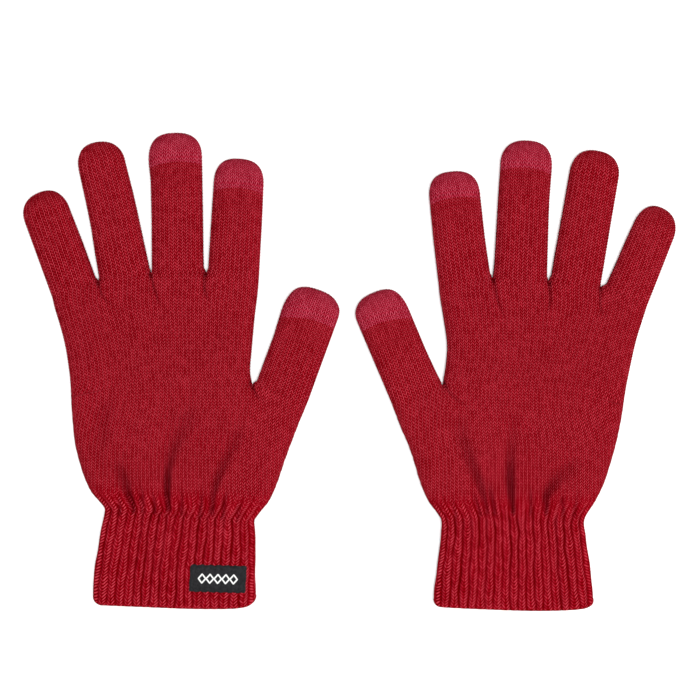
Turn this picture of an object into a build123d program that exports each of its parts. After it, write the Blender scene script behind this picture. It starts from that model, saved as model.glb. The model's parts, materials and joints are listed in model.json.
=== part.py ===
"""A pair of knitted touchscreen gloves, lying flat with the palms down.

Units are millimetres, +Z is up, +Y points to the fingertips and +X to the
right glove.  Each glove is a seamless knit: a hand shell, five finger stalls
that each bend at a knuckle line and at a middle line, a ribbed cuff that turns
up at the wrist, and touch tips of conductive yarn on the thumb, index and
middle stalls.  All walls are one knit thickness and every stall is hollow.
Every hinge axis lies in the top face, so a stall folds up without meeting
the shell behind it.
"""
from build123d import *
from math import sin, cos, radians, hypot
import os

os.makedirs("parts", exist_ok=True)

# ---------------------------------------------------------------- dimensions
H = 9.0                 # height of a glove lying flat
WALL = 1.6              # one layer of 13-gauge knit
EDGE_R = 3.9            # rounding of the long edges
HAND_EDGE = 2.4         # bevel of the hand's long outer edges
GAP = 0.3               # clearance across a bending line
ROOT_S = 8.0            # knuckle bending line, past the crotch
TIP_R = 10.0            # rounding of a stall's end, seen from above
RIB_RING_COUNT = 5      # elastic courses laid into a cuff
RING_START = 10.0       # first elastic course below the wrist line
RING_PITCH = 7.0        # spacing of the elastic courses
RING_T = 0.5            # thickness of an elastic course
LABEL_T = 0.45          # woven label
THREAD = 0.4            # sewing thread
ORIGIN_SHIFT = (-0.060, -0.167)   # moves the pair's box centre onto the Z axis

# stall: centre of its root line, lean from +Y (degrees, positive to +X),
# width, length from root line to tip, distance from the knuckle line to the
# middle line, touch tip length at the end (0 for a plain end)
LEFT = {
    "little": dict(root=(-129.0, 38.2), lean=-20.3, width=22.6, length=48.7, mid=16.5, touch=0.0),
    "ring": dict(root=(-105.4, 44.2), lean=-11.6, width=23.8, length=65.0, mid=27.0, touch=0.0),
    "middle": dict(root=(-80.7, 46.1), lean=-1.0, width=24.8, length=66.3, mid=37.5, touch=16.6),
    "index": dict(root=(-54.5, 45.3), lean=3.4, width=24.1, length=54.4, mid=27.0, touch=16.0),
    "thumb": dict(root=(-32.1, -10.9), lean=19.6, width=26.4, length=51.4, mid=23.0, touch=16.0),
}
RIGHT = {
    "little": dict(root=(129.4, 34.9), lean=22.4, width=21.4, length=46.0, mid=16.5, touch=0.0),
    "ring": dict(root=(106.1, 40.9), lean=10.1, width=23.8, length=63.6, mid=27.0, touch=0.0),
    "middle": dict(root=(80.1, 43.0), lean=3.0, width=24.8, length=65.6, mid=37.5, touch=15.5),
    "index": dict(root=(54.0, 42.3), lean=-6.2, width=24.8, length=51.9, mid=26.0, touch=14.8),
    "thumb": dict(root=(31.8, -11.5), lean=-22.7, width=25.4, length=52.4, mid=23.0, touch=16.5),
}
# sides of each hand, from the wrist up: outer side by the little stall, side
# below the index stall down to the thumb crotch, and outer side of the thumb
LEFT_LITTLE_SIDE = [(-115.6, -66.35), (-121.2, -56.9), (-124.9, -49.3), (-129.0, -34.3),
                    (-130.5, -19.3), (-131.4, -4.2), (-134.2, 14.6), (-138.0, 28.6)]
LEFT_INDEX_SIDE = [(-42.9, 37.1), (-44.4, 25.8), (-45.8, 10.8), (-46.7, -0.5), (-46.3, -4.6)]
LEFT_THUMB_SIDE = [(-18.9, -12.5), (-26.1, -30.5), (-30.3, -41.8), (-34.5, -53.1),
                   (-38.4, -61.2), (-43.5, -66.35)]
RIGHT_LITTLE_SIDE = [(111.0, -69.35), (116.1, -60.6), (119.6, -53.1), (122.2, -45.6),
                     (125.3, -34.3), (127.6, -23.0), (130.0, -8.0), (134.2, 12.6), (138.6, 27.0)]
RIGHT_INDEX_SIDE = [(42.2, 35.0), (43.9, 25.8), (45.6, 12.7), (45.3, 1.5), (44.5, -4.8)]
RIGHT_THUMB_SIDE = [(18.6, -12.8), (24.2, -26.8), (27.6, -34.9), (30.6, -42.6),
                    (34.1, -53.1), (37.6, -61.0), (42.8, -69.35)]
# cuffs: wrist line, lower end of the rib, lower edge, and the x range at the
# wrist line and at the lower edge
LEFT_CUFF = dict(wrist=-66.5, rib_end=-107.5, hem=-111.2, top=(-115.6, -43.6), low=(-120.9, -43.8))
RIGHT_CUFF = dict(wrist=-69.5, rib_end=-108.4, hem=-112.1, top=(42.8, 110.9), low=(39.4, 115.1))

LABEL_BOX = dict(x=(-74.8, -48.4), y=(-103.55, -90.85))   # on the left cuff
STITCH_INSET = 1.3      # stitching line inside the label's edge
STITCH_LEN = 2.0        # one stitch
STITCH_PITCH = 3.1


# ---------------------------------------------------------------- helpers
def to_place(x, y):
    return (x + ORIGIN_SHIFT[0], y + ORIGIN_SHIFT[1])


def stall_dirs(f):
    a = radians(f["lean"])
    return (sin(a), cos(a)), (cos(a), -sin(a))


def stall_point(f, s, t):
    """Point at s along a stall from its root line and t to its right."""
    d, r = stall_dirs(f)
    return to_place(f["root"][0] + d[0] * s + r[0] * t, f["root"][1] + d[1] * s + r[1] * t)


def stall_plane(f, s):
    """Upright plane across a stall at s, its normal along the stall."""
    d, r = stall_dirs(f)
    x, y = stall_point(f, s, 0)
    return Plane(origin=(x, y, H / 2), x_dir=(r[0], r[1], 0), z_dir=(d[0], d[1], 0))


def plan_plane(f, s, z):
    """Level plane at a stall's point s, its x across and its y along the stall."""
    d, r = stall_dirs(f)
    x, y = stall_point(f, s, 0)
    return Plane(origin=(x, y, z), x_dir=(r[0], r[1], 0), z_dir=(0, 0, 1))


def inset(points, amount, side):
    """A line of points moved sideways by amount: side 1 to its right, -1 left."""
    out = []
    for i, p in enumerate(points):
        a = points[max(i - 1, 0)]
        b = points[min(i + 1, len(points) - 1)]
        n = hypot(b[0] - a[0], b[1] - a[1])
        out.append((p[0] + side * amount * (b[1] - a[1]) / n, p[1] - side * amount * (b[0] - a[0]) / n))
    return out


def save(builder, label):
    builder.part.label = label
    export_step(builder.part, f"parts/{label}.step")
    box = builder.part.bounding_box()
    boxes.append(box)
    print(f"{label:28s} {len(builder.part.solids())} solid(s) {builder.part.volume:9.1f} mm3")


boxes = []


# ---------------------------------------------------------------- builders
def stall_tube(f, s0, s1):
    """Open tube of a stall between two cuts across it."""
    with BuildPart() as tube:
        with BuildSketch(stall_plane(f, s0)):
            RectangleRounded(f["width"], H, EDGE_R)
            RectangleRounded(f["width"] - 2 * WALL, H - 2 * WALL, EDGE_R - WALL, mode=Mode.SUBTRACT)
        extrude(amount=s1 - s0)
    return tube


def stall_end(f, s0):
    """Closed end of a stall from a cut at s0 to its rounded tip."""
    run = f["length"] - s0
    half = f["width"] / 2
    inner = half - WALL
    r_in = TIP_R - WALL
    with BuildPart() as end:
        with BuildSketch(plan_plane(f, s0, 0)):
            with BuildLine():
                Polyline((-half, run - TIP_R), (-half, 0), (half, 0), (half, run - TIP_R))
                JernArc((half, run - TIP_R), (0, 1), TIP_R, 90)
                JernArc((-half, run - TIP_R), (0, 1), TIP_R, -90)
                Line((half - TIP_R, run), (-half + TIP_R, run))
            make_face()
        extrude(amount=H)
        rims = end.edges().group_by(Axis.Z)[-1] + end.edges().group_by(Axis.Z)[0]
        cut_dir, _ = stall_dirs(f)
        x0, y0 = stall_point(f, s0, 0)
        rims = [e for e in rims
                if (e.center().X - x0) * cut_dir[0] + (e.center().Y - y0) * cut_dir[1] > 0.5]
        fillet(rims, radius=EDGE_R)
        with BuildSketch(plan_plane(f, s0, WALL)):
            with BuildLine():
                Polyline((-inner, run - TIP_R), (-inner, -1), (inner, -1), (inner, run - TIP_R))
                JernArc((inner, run - TIP_R), (0, 1), r_in, 90)
                JernArc((-inner, run - TIP_R), (0, 1), r_in, -90)
                Line((inner - r_in, run - WALL), (-inner + r_in, run - WALL))
            make_face()
        extrude(amount=H - 2 * WALL, mode=Mode.SUBTRACT)
    return end


def hand_shell(stalls, little_side, index_side, thumb_side, cuff, hand):
    """Palm and back of the hand with a short stub of every stall.

    hand is -1 when the little stall lies at low x and 1 when it lies at high x.
    """
    g = GAP / 2
    order = ["little", "ring", "middle", "index"]
    stub = ROOT_S - g
    # walking from the little stall to the thumb; near/far are its two edges
    near = -1 if hand < 0 else 1

    def corner(name, s, edge):
        f = stalls[name]
        return stall_point(f, s, edge * f["width"] / 2)

    def crotch(a, b):
        """Bottom of the slit between two stalls."""
        p = corner(a, 1.0, -near)
        q = corner(b, 1.0, near)
        d = stall_dirs(stalls[a])[0]
        w = hypot(p[0] - q[0], p[1] - q[1]) / 2
        return p, ((p[0] + q[0]) / 2 - d[0] * w, (p[1] + q[1]) / 2 - d[1] * w), q

    left_side = [to_place(*p) for p in little_side]
    mid_side = [to_place(*p) for p in index_side]
    right_side = [to_place(*p) for p in thumb_side]
    thumb_in = corner("thumb", stub, near)
    thumb_out = corner("thumb", stub, -near)
    thumb_low = corner("thumb", 1.6, near)
    slit = hypot(mid_side[-1][0] - thumb_low[0], mid_side[-1][1] - thumb_low[1])
    notch = ((mid_side[-1][0] + thumb_low[0]) / 2,
             (mid_side[-1][1] + thumb_low[1]) / 2 - slit / 2)

    with BuildPart() as shell:
        with BuildSketch(Plane.XY):
            with BuildLine():
                Spline(*left_side, corner("little", stub, near))
                for a, b in zip(order, order[1:]):
                    p, low, q = crotch(a, b)
                    Polyline(corner(a, stub, near), corner(a, stub, -near), p)
                    ThreePointArc(p, low, q)
                    Line(q, corner(b, stub, near))
                Line(corner("index", stub, near), corner("index", stub, -near))
                Spline(corner("index", stub, -near), *mid_side)
                ThreePointArc(mid_side[-1], notch, thumb_low)
                Polyline(thumb_low, thumb_in, thumb_out)
                Spline(thumb_out, *right_side)
                Line(right_side[-1], left_side[0])
            make_face()
        extrude(amount=H)
        # the two long outer edges are bevelled, top and bottom
        for level in (-1, 0):
            for start in (left_side[0], right_side[-1]):
                rim = shell.edges().filter_by(GeomType.BSPLINE).group_by(Axis.Z)[level]
                rim = rim.sort_by_distance((start[0], start[1], H if level else 0))[0]
                chamfer(rim, length=HAND_EDGE)
        # palm room
        inner_a = inset(left_side, WALL, -near)
        inner_b = inset(mid_side, WALL, -near)
        inner_c = inset(right_side, WALL, -near)
        low_y = cuff["wrist"] + ORIGIN_SHIFT[1] - 1
        top = []
        for a, b in zip(order, order[1:]):
            _, low, _ = crotch(a, b)
            top.append((low[0], low[1] - WALL))
        room = [(inner_a[0][0], low_y)] + inner_a + top + inner_b[:-1]
        room += [(notch[0], notch[1] - WALL)] + inner_c + [(inner_c[-1][0], low_y)]
        with BuildSketch(Plane.XY.offset(WALL)):
            Polygon(*room, align=None)
        extrude(amount=H - 2 * WALL, mode=Mode.SUBTRACT)
        # each stall's room runs on into the palm
        for name, f in stalls.items():
            start = -4.0 if name == "thumb" else -9.0
            with BuildSketch(stall_plane(f, start)):
                RectangleRounded(f["width"] - 2 * WALL, H - 2 * WALL, EDGE_R - WALL)
            extrude(amount=ROOT_S + 1 - start, mode=Mode.SUBTRACT)
    return shell


def cuff_section(y, span, wall):
    """Rounded section across a cuff at y, wall inside its outer face."""
    x0, x1 = span[0] + ORIGIN_SHIFT[0], span[1] + ORIGIN_SHIFT[0]
    plane = Plane(origin=((x0 + x1) / 2, y + ORIGIN_SHIFT[1], H / 2), x_dir=(1, 0, 0), z_dir=(0, -1, 0))
    return plane, x1 - x0 - 2 * wall, H - 2 * wall, EDGE_R - wall


def cuff_span(cuff, y):
    t = (y - cuff["wrist"]) / (cuff["hem"] - cuff["wrist"])
    return tuple(a + (b - a) * t for a, b in zip(cuff["top"], cuff["low"]))


def cuff_tube(cuff, y0, y1):
    with BuildPart() as tube:
        for wall, mode in ((0.0, Mode.ADD), (WALL, Mode.SUBTRACT)):
            for y in (y0, y1):
                plane, w, h, r = cuff_section(y, cuff_span(cuff, y), wall)
                with BuildSketch(plane):
                    RectangleRounded(w, h, r)
            loft(ruled=True, mode=mode)
    return tube


def cuff_elastic(cuff):
    """Elastic courses lying against the inside of a cuff."""
    with BuildPart() as rings:
        for i in range(RIB_RING_COUNT):
            y = cuff["wrist"] - RING_START - i * RING_PITCH
            plane, w, h, r = cuff_section(y, cuff_span(cuff, y), WALL + 0.12)
            with BuildSketch(plane):
                RectangleRounded(w, h, r)
                RectangleRounded(w - 2 * RING_T, h - 2 * RING_T, r - RING_T, mode=Mode.SUBTRACT)
            extrude(amount=0.6)
    return rings


# ---------------------------------------------------------------- the gloves
g = GAP / 2
for side, stalls, cuff in (("left", LEFT, LEFT_CUFF), ("right", RIGHT, RIGHT_CUFF)):
    if side == "left":
        shell = hand_shell(stalls, LEFT_LITTLE_SIDE, LEFT_INDEX_SIDE, LEFT_THUMB_SIDE, cuff, -1)
    else:
        shell = hand_shell(stalls, RIGHT_LITTLE_SIDE, RIGHT_INDEX_SIDE, RIGHT_THUMB_SIDE, cuff, 1)
    save(shell, f"{side}_hand_shell")

    for name, f in stalls.items():
        bend = ROOT_S + f["mid"]
        base = stall_tube(f, ROOT_S + g, bend - g)
        save(base, f"{side}_{name}_base")
        if f["touch"] > 0:
            cut = f["length"] - f["touch"]
            end = stall_tube(f, bend + g, cut)
            save(end, f"{side}_{name}_end")
            tip = stall_end(f, cut)
            save(tip, f"{side}_{name}_touch_tip")
        else:
            end = stall_end(f, bend + g)
            save(end, f"{side}_{name}_end")

    rib = cuff_tube(cuff, cuff["wrist"] - g, cuff["rib_end"])
    save(rib, f"{side}_cuff_rib")
    welt = cuff_tube(cuff, cuff["rib_end"], cuff["hem"])
    save(welt, f"{side}_cuff_welt")
    elastic = cuff_elastic(cuff)
    save(elastic, f"{side}_cuff_elastic")

# woven label on the left cuff
lx = [v + ORIGIN_SHIFT[0] for v in LABEL_BOX["x"]]
ly = [v + ORIGIN_SHIFT[1] for v in LABEL_BOX["y"]]
lw, lh = lx[1] - lx[0], ly[1] - ly[0]
lc = ((lx[0] + lx[1]) / 2, (ly[0] + ly[1]) / 2)
with BuildPart() as label:
    with BuildSketch(Plane((lc[0], lc[1], H))):
        RectangleRounded(lw, lh, 0.9)
    extrude(amount=LABEL_T)
save(label, "left_cuff_label")

# its stitching: short raised stitches round the border
across = int((lw - 2 * STITCH_INSET) / STITCH_PITCH)
down = int((lh - 2 * STITCH_INSET) / STITCH_PITCH)
with BuildPart() as stitching:
    with BuildSketch(Plane((lc[0], lc[1], H + LABEL_T))):
        with Locations((0, lh / 2 - STITCH_INSET), (0, -lh / 2 + STITCH_INSET)):
            with GridLocations(STITCH_PITCH, 1, across, 1):
                Rectangle(STITCH_LEN, THREAD)
        with Locations((lw / 2 - STITCH_INSET, 0), (-lw / 2 + STITCH_INSET, 0)):
            with GridLocations(1, STITCH_PITCH, 1, down):
                Rectangle(THREAD, STITCH_LEN)
    extrude(amount=0.25)
save(stitching, "left_label_stitching")

x0 = min(b.min.X for b in boxes)
x1 = max(b.max.X for b in boxes)
y0 = min(b.min.Y for b in boxes)
y1 = max(b.max.Y for b in boxes)
z0 = min(b.min.Z for b in boxes)
z1 = max(b.max.Z for b in boxes)
print(f"box x {x0:.3f} {x1:.3f}  y {y0:.3f} {y1:.3f}  z {z0:.3f} {z1:.3f}")
print(f"centre {(x0 + x1) / 2:.3f} {(y0 + y1) / 2:.3f}  size {x1 - x0:.2f} {y1 - y0:.2f} {z1 - z0:.2f}")
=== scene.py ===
"""Looks of the knitted touchscreen gloves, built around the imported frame.

Each glove is one knitted surface: a grid of wales (columns) and courses
(rows) that runs from the hem of the cuff through the hand into the five
stalls.  The surface is cut into pieces where the frame's bodies meet, and the
pieces share the vertices of their cuts.
"""
import bpy, json, math
import numpy as np
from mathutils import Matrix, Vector, noise
from mathutils.bvhtree import BVHTree


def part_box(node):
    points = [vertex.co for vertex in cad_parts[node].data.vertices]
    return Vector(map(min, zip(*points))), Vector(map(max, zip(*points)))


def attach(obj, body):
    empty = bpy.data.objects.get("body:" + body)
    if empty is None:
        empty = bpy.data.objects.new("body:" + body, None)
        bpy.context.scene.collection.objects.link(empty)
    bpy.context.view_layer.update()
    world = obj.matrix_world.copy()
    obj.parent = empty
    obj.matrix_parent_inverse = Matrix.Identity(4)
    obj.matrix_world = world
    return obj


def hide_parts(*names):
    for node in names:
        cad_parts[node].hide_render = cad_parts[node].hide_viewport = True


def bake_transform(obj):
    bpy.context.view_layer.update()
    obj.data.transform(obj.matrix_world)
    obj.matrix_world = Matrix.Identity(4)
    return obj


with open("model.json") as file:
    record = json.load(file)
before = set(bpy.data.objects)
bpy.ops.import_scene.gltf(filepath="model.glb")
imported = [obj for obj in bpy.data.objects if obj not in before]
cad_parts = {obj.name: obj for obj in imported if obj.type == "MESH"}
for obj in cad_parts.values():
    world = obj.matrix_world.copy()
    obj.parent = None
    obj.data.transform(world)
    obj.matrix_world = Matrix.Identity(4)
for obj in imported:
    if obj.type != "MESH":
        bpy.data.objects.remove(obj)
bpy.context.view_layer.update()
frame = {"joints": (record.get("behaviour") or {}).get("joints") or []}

MM = 0.001
RNG = np.random.RandomState(7)

# ------------------------------------------------------------------ design
ROW = 0.7               # height of a grid row, mm: two rows in a course
CUFF_ROW = 0.3725       # four rows in a course
CPW = 4                 # grid columns in a wale
WALES = (12, 12, 13, 13, 14)            # little, ring, middle, index, thumb
NAMES = ("little", "ring", "middle", "index", "thumb")
RIBS = 19               # ribs on one face of a cuff
JT, J1 = 86, 160        # rows from the wrist to the thumb crotch, and to the finger crotches
WELT_ROWS = 10
LEAN = {"left": 0.024, "right": 0.0}    # how far the ribs swing sideways towards the hem, in cuff widths
INNER_ROWS = 5          # rows of the outer skin to one of the inner skin
Z_MID = 3.6             # height of the outline's edge above the floor
EDGE = 8.5              # how far the edge's rounding reaches in
WALL = 1.5              # knit thickness

# stall: root, lean, length, tip rounding, tip exponent, tip shift, touch tilt,
# touch start (0: none), half widths (s, left, right)
LEFT = {
    "little": ((-129.0, 38.2), -20.3, 48.7, 12.0, 2.3, 0.4, 0.0, 0.0, [(0, 11.3, 11.0), (20, 11.2, 11.1), (36.7, 11.1, 10.8)]),
    "ring": ((-105.4, 44.2), -11.6, 64.8, 12.0, 2.3, -1.3, 0.0, 0.0, [(0, 12.2, 12.1), (14, 11.7, 11.9), (26, 11.1, 11.8), (38, 11.1, 11.6), (52.8, 11.3, 10.9)]),
    "middle": ((-80.7, 46.1), -1.0, 65.8, 13.0, 2.6, 0.0, 0.05, 49.7, [(0, 12.2, 12.3), (8, 12.1, 12.2), (26, 11.9, 12.3), (44, 12.0, 12.3), (52.8, 12.8, 12.3)]),
    "index": ((-54.5, 45.3), 3.4, 54.5, 13.0, 2.6, -0.5, 0.0, 38.4, [(0, 12.1, 12.0), (26, 12.0, 11.9), (41.5, 11.9, 11.6)]),
    "thumb": ((-32.1, -10.9), 19.6, 52.1, 13.0, 2.6, 0.5, 0.15, 35.4, [(0, 12.9, 13.0), (14, 12.8, 13.1), (26, 12.6, 13.2), (39.1, 13.2, 13.3)]),
}
RIGHT = {
    "little": ((129.4, 34.9), 22.4, 45.3, 13.0, 2.3, -0.3, 0.0, 0.0, [(0, 10.3, 11.3), (14, 9.8, 11.1), (26, 9.6, 10.9), (32.3, 9.3, 10.8)]),
    "ring": ((106.1, 40.9), 10.1, 63.5, 12.5, 2.4, -0.5, 0.0, 0.0, [(0, 11.8, 11.8), (14, 11.9, 11.7), (32, 11.8, 11.5), (51, 11.8, 11.4)]),
    "middle": ((80.1, 43.0), 3.0, 65.4, 13.0, 2.5, 0.4, -0.03, 50.1, [(0, 12.8, 12.8), (8, 12.4, 12.5), (26, 12.3, 12.1), (38, 12.2, 11.9), (52.4, 12.0, 12.3)]),
    "index": ((54.0, 42.3), -6.2, 51.8, 13.0, 2.6, -0.8, 0.0, 37.1, [(0, 12.2, 12.6), (8, 12.3, 12.2), (20, 12.4, 11.8), (38.8, 12.2, 11.8)]),
    "thumb": ((31.8, -11.5), -22.7, 52.5, 13.0, 2.6, -0.5, -0.14, 36.0, [(0, 12.5, 13.0), (8, 12.5, 12.5), (20, 12.6, 12.1), (39.5, 12.7, 12.1)]),
}
# outline from the hem upwards: the side by the little stall, the thumb's outer
# side, and the side below the index stall from the thumb crotch
LEFT_SIDES = dict(
    little=[(-120.7, -108.0), (-120.6, -102.0), (-120.1, -94.5), (-119.1, -86.9), (-118.0, -79.4), (-116.6, -71.9),
            (-115.4, -66.6), (-115.3, -64.6), (-117.8, -61.3), (-121.4, -56.9), (-124.9, -49.3), (-127.2, -41.8), (-129.0, -34.3), (-130.5, -19.3),
            (-131.3, -4.2), (-132.7, 7.0), (-134.2, 14.6), (-136.2, 22.1), (-138.5, 29.6)],
    thumb=[(-43.7, -108.0), (-43.8, -102.0), (-43.9, -94.5), (-43.9, -86.9), (-43.9, -79.4), (-44.2, -73.5),
           (-44.2, -70.2), (-42.0, -66.9), (-37.6, -61.0), (-34.1, -53.1), (-30.3, -41.8), (-26.1, -30.5), (-22.6, -21.6)],
    index=[(-45.7, -6.1), (-46.7, -0.5), (-45.9, 10.8), (-44.5, 25.8), (-43.1, 37.1)],
    crotch=[(-118.0, 42.6), (-93.2, 46.2), (-67.3, 46.4)], wrist=(-64.8, -69.8),
    hem=[(-120.2, -109.7), (-113.5, -109.9), (-98.5, -110.5), (-70.3, -111.5), (-51.5, -111.1), (-45.5, -109.8)])
RIGHT_SIDES = dict(
    little=[(114.9, -108.5), (114.7, -105.0), (114.0, -98.2), (112.7, -86.9), (111.4, -77.0),
            (110.7, -70.0), (115.7, -61.2), (119.6, -53.1), (122.1, -45.6), (125.3, -34.3), (127.7, -23.0), (130.0, -8.0),
            (132.2, 3.3), (134.8, 14.6), (137.1, 22.1)],
    thumb=[(39.4, -108.5), (39.4, -105.0), (40.6, -94.5), (42.1, -83.2), (42.9, -75.7), (42.6, -69.6),
           (37.2, -61.5), (33.5, -53.1), (30.1, -41.8), (27.5, -34.3), (24.2, -26.8), (20.9, -18.0)],
    index=[(43.7, -6.6), (45.3, 3.3), (45.8, 12.7), (44.0, 25.8), (42.5, 35.0)],
    crotch=[(118.2, 39.6), (93.4, 42.4), (67.2, 43.9)], wrist=(-69.3, -69.6),
    hem=[(113.0, -110.6), (108.3, -111.6), (89.5, -112.4), (56.6, -111.4), (41.0, -110.6)])
# folds above the wrist and creases below the crotches, on the top face:
# x, y, depth and half width (mm) along each; each line also paints shade into the knit's colour
LEFT_FOLDS = [
    [(-73.0, -10.0, 0.25, 4.8), (-76.0, -19.0, 1.0, 4.6), (-79.2, -28.0, 1.5, 4.0), (-83.4, -37.0, 1.8, 3.0), (-85.1, -44.2, 2.0, 2.0), (-85.6, -53.6, 2.9, 1.35), (-85.1, -65.0, 2.2, 1.0)],
    [(-111.6, -39.5, 0.3, 3.6), (-108.3, -45.6, 1.4, 2.8), (-105.5, -52.2, 2.1, 2.2), (-103.2, -59.2, 2.5, 1.6), (-101.3, -65.5, 1.8, 1.1)],
    [(-112.5, -8.0, 0.1, 4.5), (-115.3, -20.0, 1.0, 4.5), (-117.2, -34.0, 1.1, 4.5), (-115.9, -46.5, 0.2, 4.0)],
    [(-50.0, -23.0, 0.1, 3.4), (-53.6, -31.5, 1.2, 3.0), (-58.0, -41.0, 1.7, 2.6), (-62.0, -50.0, 2.0, 2.0), (-64.3, -58.0, 1.8, 1.5), (-64.6, -66.5, 1.6, 1.1)],
    [(-97.9, -53.0, 0.1, 1.3), (-97.6, -58.5, 1.1, 1.2), (-97.3, -65.5, 1.4, 0.9)],
    [(-93.3, -54.5, 0.1, 1.2), (-92.0, -60.0, 1.0, 1.0), (-91.4, -66.0, 1.3, 0.9)],
    [(-78.4, -53.0, 0.1, 1.2), (-78.8, -59.5, 0.9, 1.0), (-79.2, -67.0, 1.3, 0.9)],
    [(-68.9, -54.5, 0.1, 1.2), (-69.6, -60.5, 1.1, 1.0), (-70.3, -67.5, 1.4, 0.9)],
    [(-57.2, -54.0, 0.1, 1.3), (-58.6, -60.5, 1.2, 1.1), (-59.9, -68.5, 1.4, 0.9)],
    [(-108.5, -56.0, 0.1, 1.2), (-108.0, -61.0, 0.9, 1.0), (-107.8, -66.5, 1.1, 0.9)],
    [(-50.5, -58.0, 0.1, 1.3), (-52.0, -64.0, 0.9, 1.1), (-53.0, -70.0, 1.2, 0.9)],
    [(-83.2, -9.0, 0.05, 2.4), (-83.6, -19.0, 0.45, 2.2), (-84.4, -31.0, 0.25, 2.2)],
    [(-64.0, 22.0, 0.05, 3.0), (-61.0, 15.5, 0.5, 2.2), (-58.5, 12.0, 0.05, 3.0)],
    [(-118.1, 44.5, 1.2, 0.5), (-117.4, 39.0, 1.2, 0.5), (-115.6, 34.6, 1.0, 0.55), (-112.0, 31.6, 0.5, 0.6), (-108.5, 30.6, 0.1, 0.7)],
    [(-93.4, 47.5, 1.2, 0.5), (-92.6, 42.0, 1.2, 0.5), (-91.2, 37.2, 1.1, 0.55), (-89.8, 32.8, 0.5, 0.6), (-88.2, 29.8, 0.1, 0.7)],
    [(-67.3, 47.5, 1.2, 0.55), (-68.0, 42.0, 1.3, 0.5), (-67.9, 37.4, 1.2, 0.55), (-66.2, 33.4, 0.5, 0.6), (-63.6, 31.2, 0.1, 0.7)],
    [(-46.0, -5.0, 1.2, 0.5), (-44.6, -10.0, 1.1, 0.5), (-42.6, -12.6, 0.7, 0.6), (-39.6, -14.0, 0.1, 0.7)],
]
RIGHT_FOLDS = [
    [(77.3, -19.0, 0.1, 3.2), (76.5, -29.0, 0.8, 2.6), (75.4, -39.0, 1.6, 2.2), (75.0, -48.5, 2.7, 1.9), (75.6, -57.0, 3.0, 1.5), (76.5, -66.5, 2.2, 1.0)],
    [(108.0, -40.5, 0.1, 3.6), (101.5, -46.8, 1.4, 3.4), (95.6, -52.4, 2.2, 2.6), (92.4, -58.0, 2.5, 1.7), (91.9, -66.5, 1.8, 1.1)],
    [(49.5, -19.0, 0.1, 3.6), (52.0, -29.0, 1.4, 3.2), (55.0, -38.5, 1.9, 2.8), (58.6, -47.0, 2.0, 2.3), (62.0, -55.5, 1.9, 1.7), (64.2, -66.5, 1.5, 1.0)],
    [(64.6, -51.5, 0.1, 1.3), (66.0, -57.5, 1.2, 1.1), (67.8, -66.8, 1.5, 0.9)],
    [(57.4, -55.5, 0.1, 1.2), (59.0, -60.5, 1.1, 1.0), (60.9, -67.5, 1.3, 0.9)],
    [(84.2, -52.5, 0.1, 1.2), (84.4, -58.5, 1.0, 1.0), (84.8, -67.0, 1.4, 0.9)],
    [(47.0, -58.0, 0.1, 1.2), (48.4, -62.5, 0.8, 1.0), (49.6, -68.5, 1.1, 0.9)],
    [(98.7, -56.5, 0.1, 1.2), (99.3, -61.0, 1.0, 1.0), (99.9, -67.5, 1.3, 0.9)],
    [(105.9, -57.0, 0.1, 1.2), (105.6, -62.0, 0.8, 1.0), (105.3, -68.0, 1.1, 0.9)],
    [(35.5, -3.0, 0.05, 4.5), (33.1, -11.3, 0.6, 4.0), (32.0, -19.0, 0.05, 4.5)],
    [(67.2, 45.0, 1.2, 0.5), (67.9, 39.0, 1.2, 0.5), (69.4, 33.0, 1.0, 0.55), (71.6, 27.6, 0.5, 0.6), (73.6, 24.4, 0.1, 0.7)],
    [(93.4, 44.0, 1.2, 0.55), (93.8, 38.0, 1.3, 0.5), (94.0, 33.4, 1.1, 0.55), (92.6, 28.6, 0.5, 0.6), (90.6, 26.4, 0.1, 0.7)],
    [(118.2, 41.0, 1.2, 0.5), (117.4, 35.6, 1.2, 0.5), (117.0, 31.0, 1.0, 0.55), (118.6, 26.8, 0.5, 0.6), (120.6, 25.4, 0.1, 0.7)],
    [(43.9, -5.0, 1.2, 0.5), (46.2, -9.4, 1.1, 0.5), (50.4, -13.2, 0.8, 0.6), (56.0, -17.6, 0.4, 0.7), (60.0, -21.5, 0.1, 0.9)],
]


def joint(name):
    return next(j for j in frame["joints"] if j["name"] == name)


# where the design's own frame sits in the row's frame, from a joint of the frame
_lean = math.radians(LEFT["middle"][1])
_root = LEFT["middle"][0]
_knuckle = joint("left_middle_knuckle")["pos_m"]
SX = _knuckle[0] / MM - (_root[0] + math.sin(_lean) * 8.0)
SY = _knuckle[1] / MM - (_root[1] + math.cos(_lean) * 8.0)


# ------------------------------------------------------------------ curves
def smooth(t):
    t = np.clip(t, 0.0, 1.0)
    return t * t * (3 - 2 * t)


def spline(points, samples=400):
    """Dense points of a smooth curve through the given points (Catmull-Rom, centripetal-like)."""
    p = np.array(points, float)
    p = np.vstack([2 * p[0] - p[1], p, 2 * p[-1] - p[-2]])
    out = []
    n = len(p) - 3
    per = max(4, samples // n)
    for i in range(n):
        a, b, c, d = p[i:i + 4]
        l1, l2, l3 = (max(np.linalg.norm(v) ** 0.5, 1e-6) for v in (b - a, c - b, d - c))
        m1 = (b - a) / l1 - (c - a) / (l1 + l2) + (c - b) / l2
        m2 = (c - b) / l2 - (d - b) / (l2 + l3) + (d - c) / l3
        m1, m2 = m1 * l2, m2 * l2
        t = np.linspace(0, 1, per, endpoint=False)[:, None]
        out.append((2 * t**3 - 3 * t**2 + 1) * b + (t**3 - 2 * t**2 + t) * m1 + (-2 * t**3 + 3 * t**2) * c + (t**3 - t**2) * m2)
    out.append(p[-2][None, :])
    return np.vstack(out)


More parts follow.
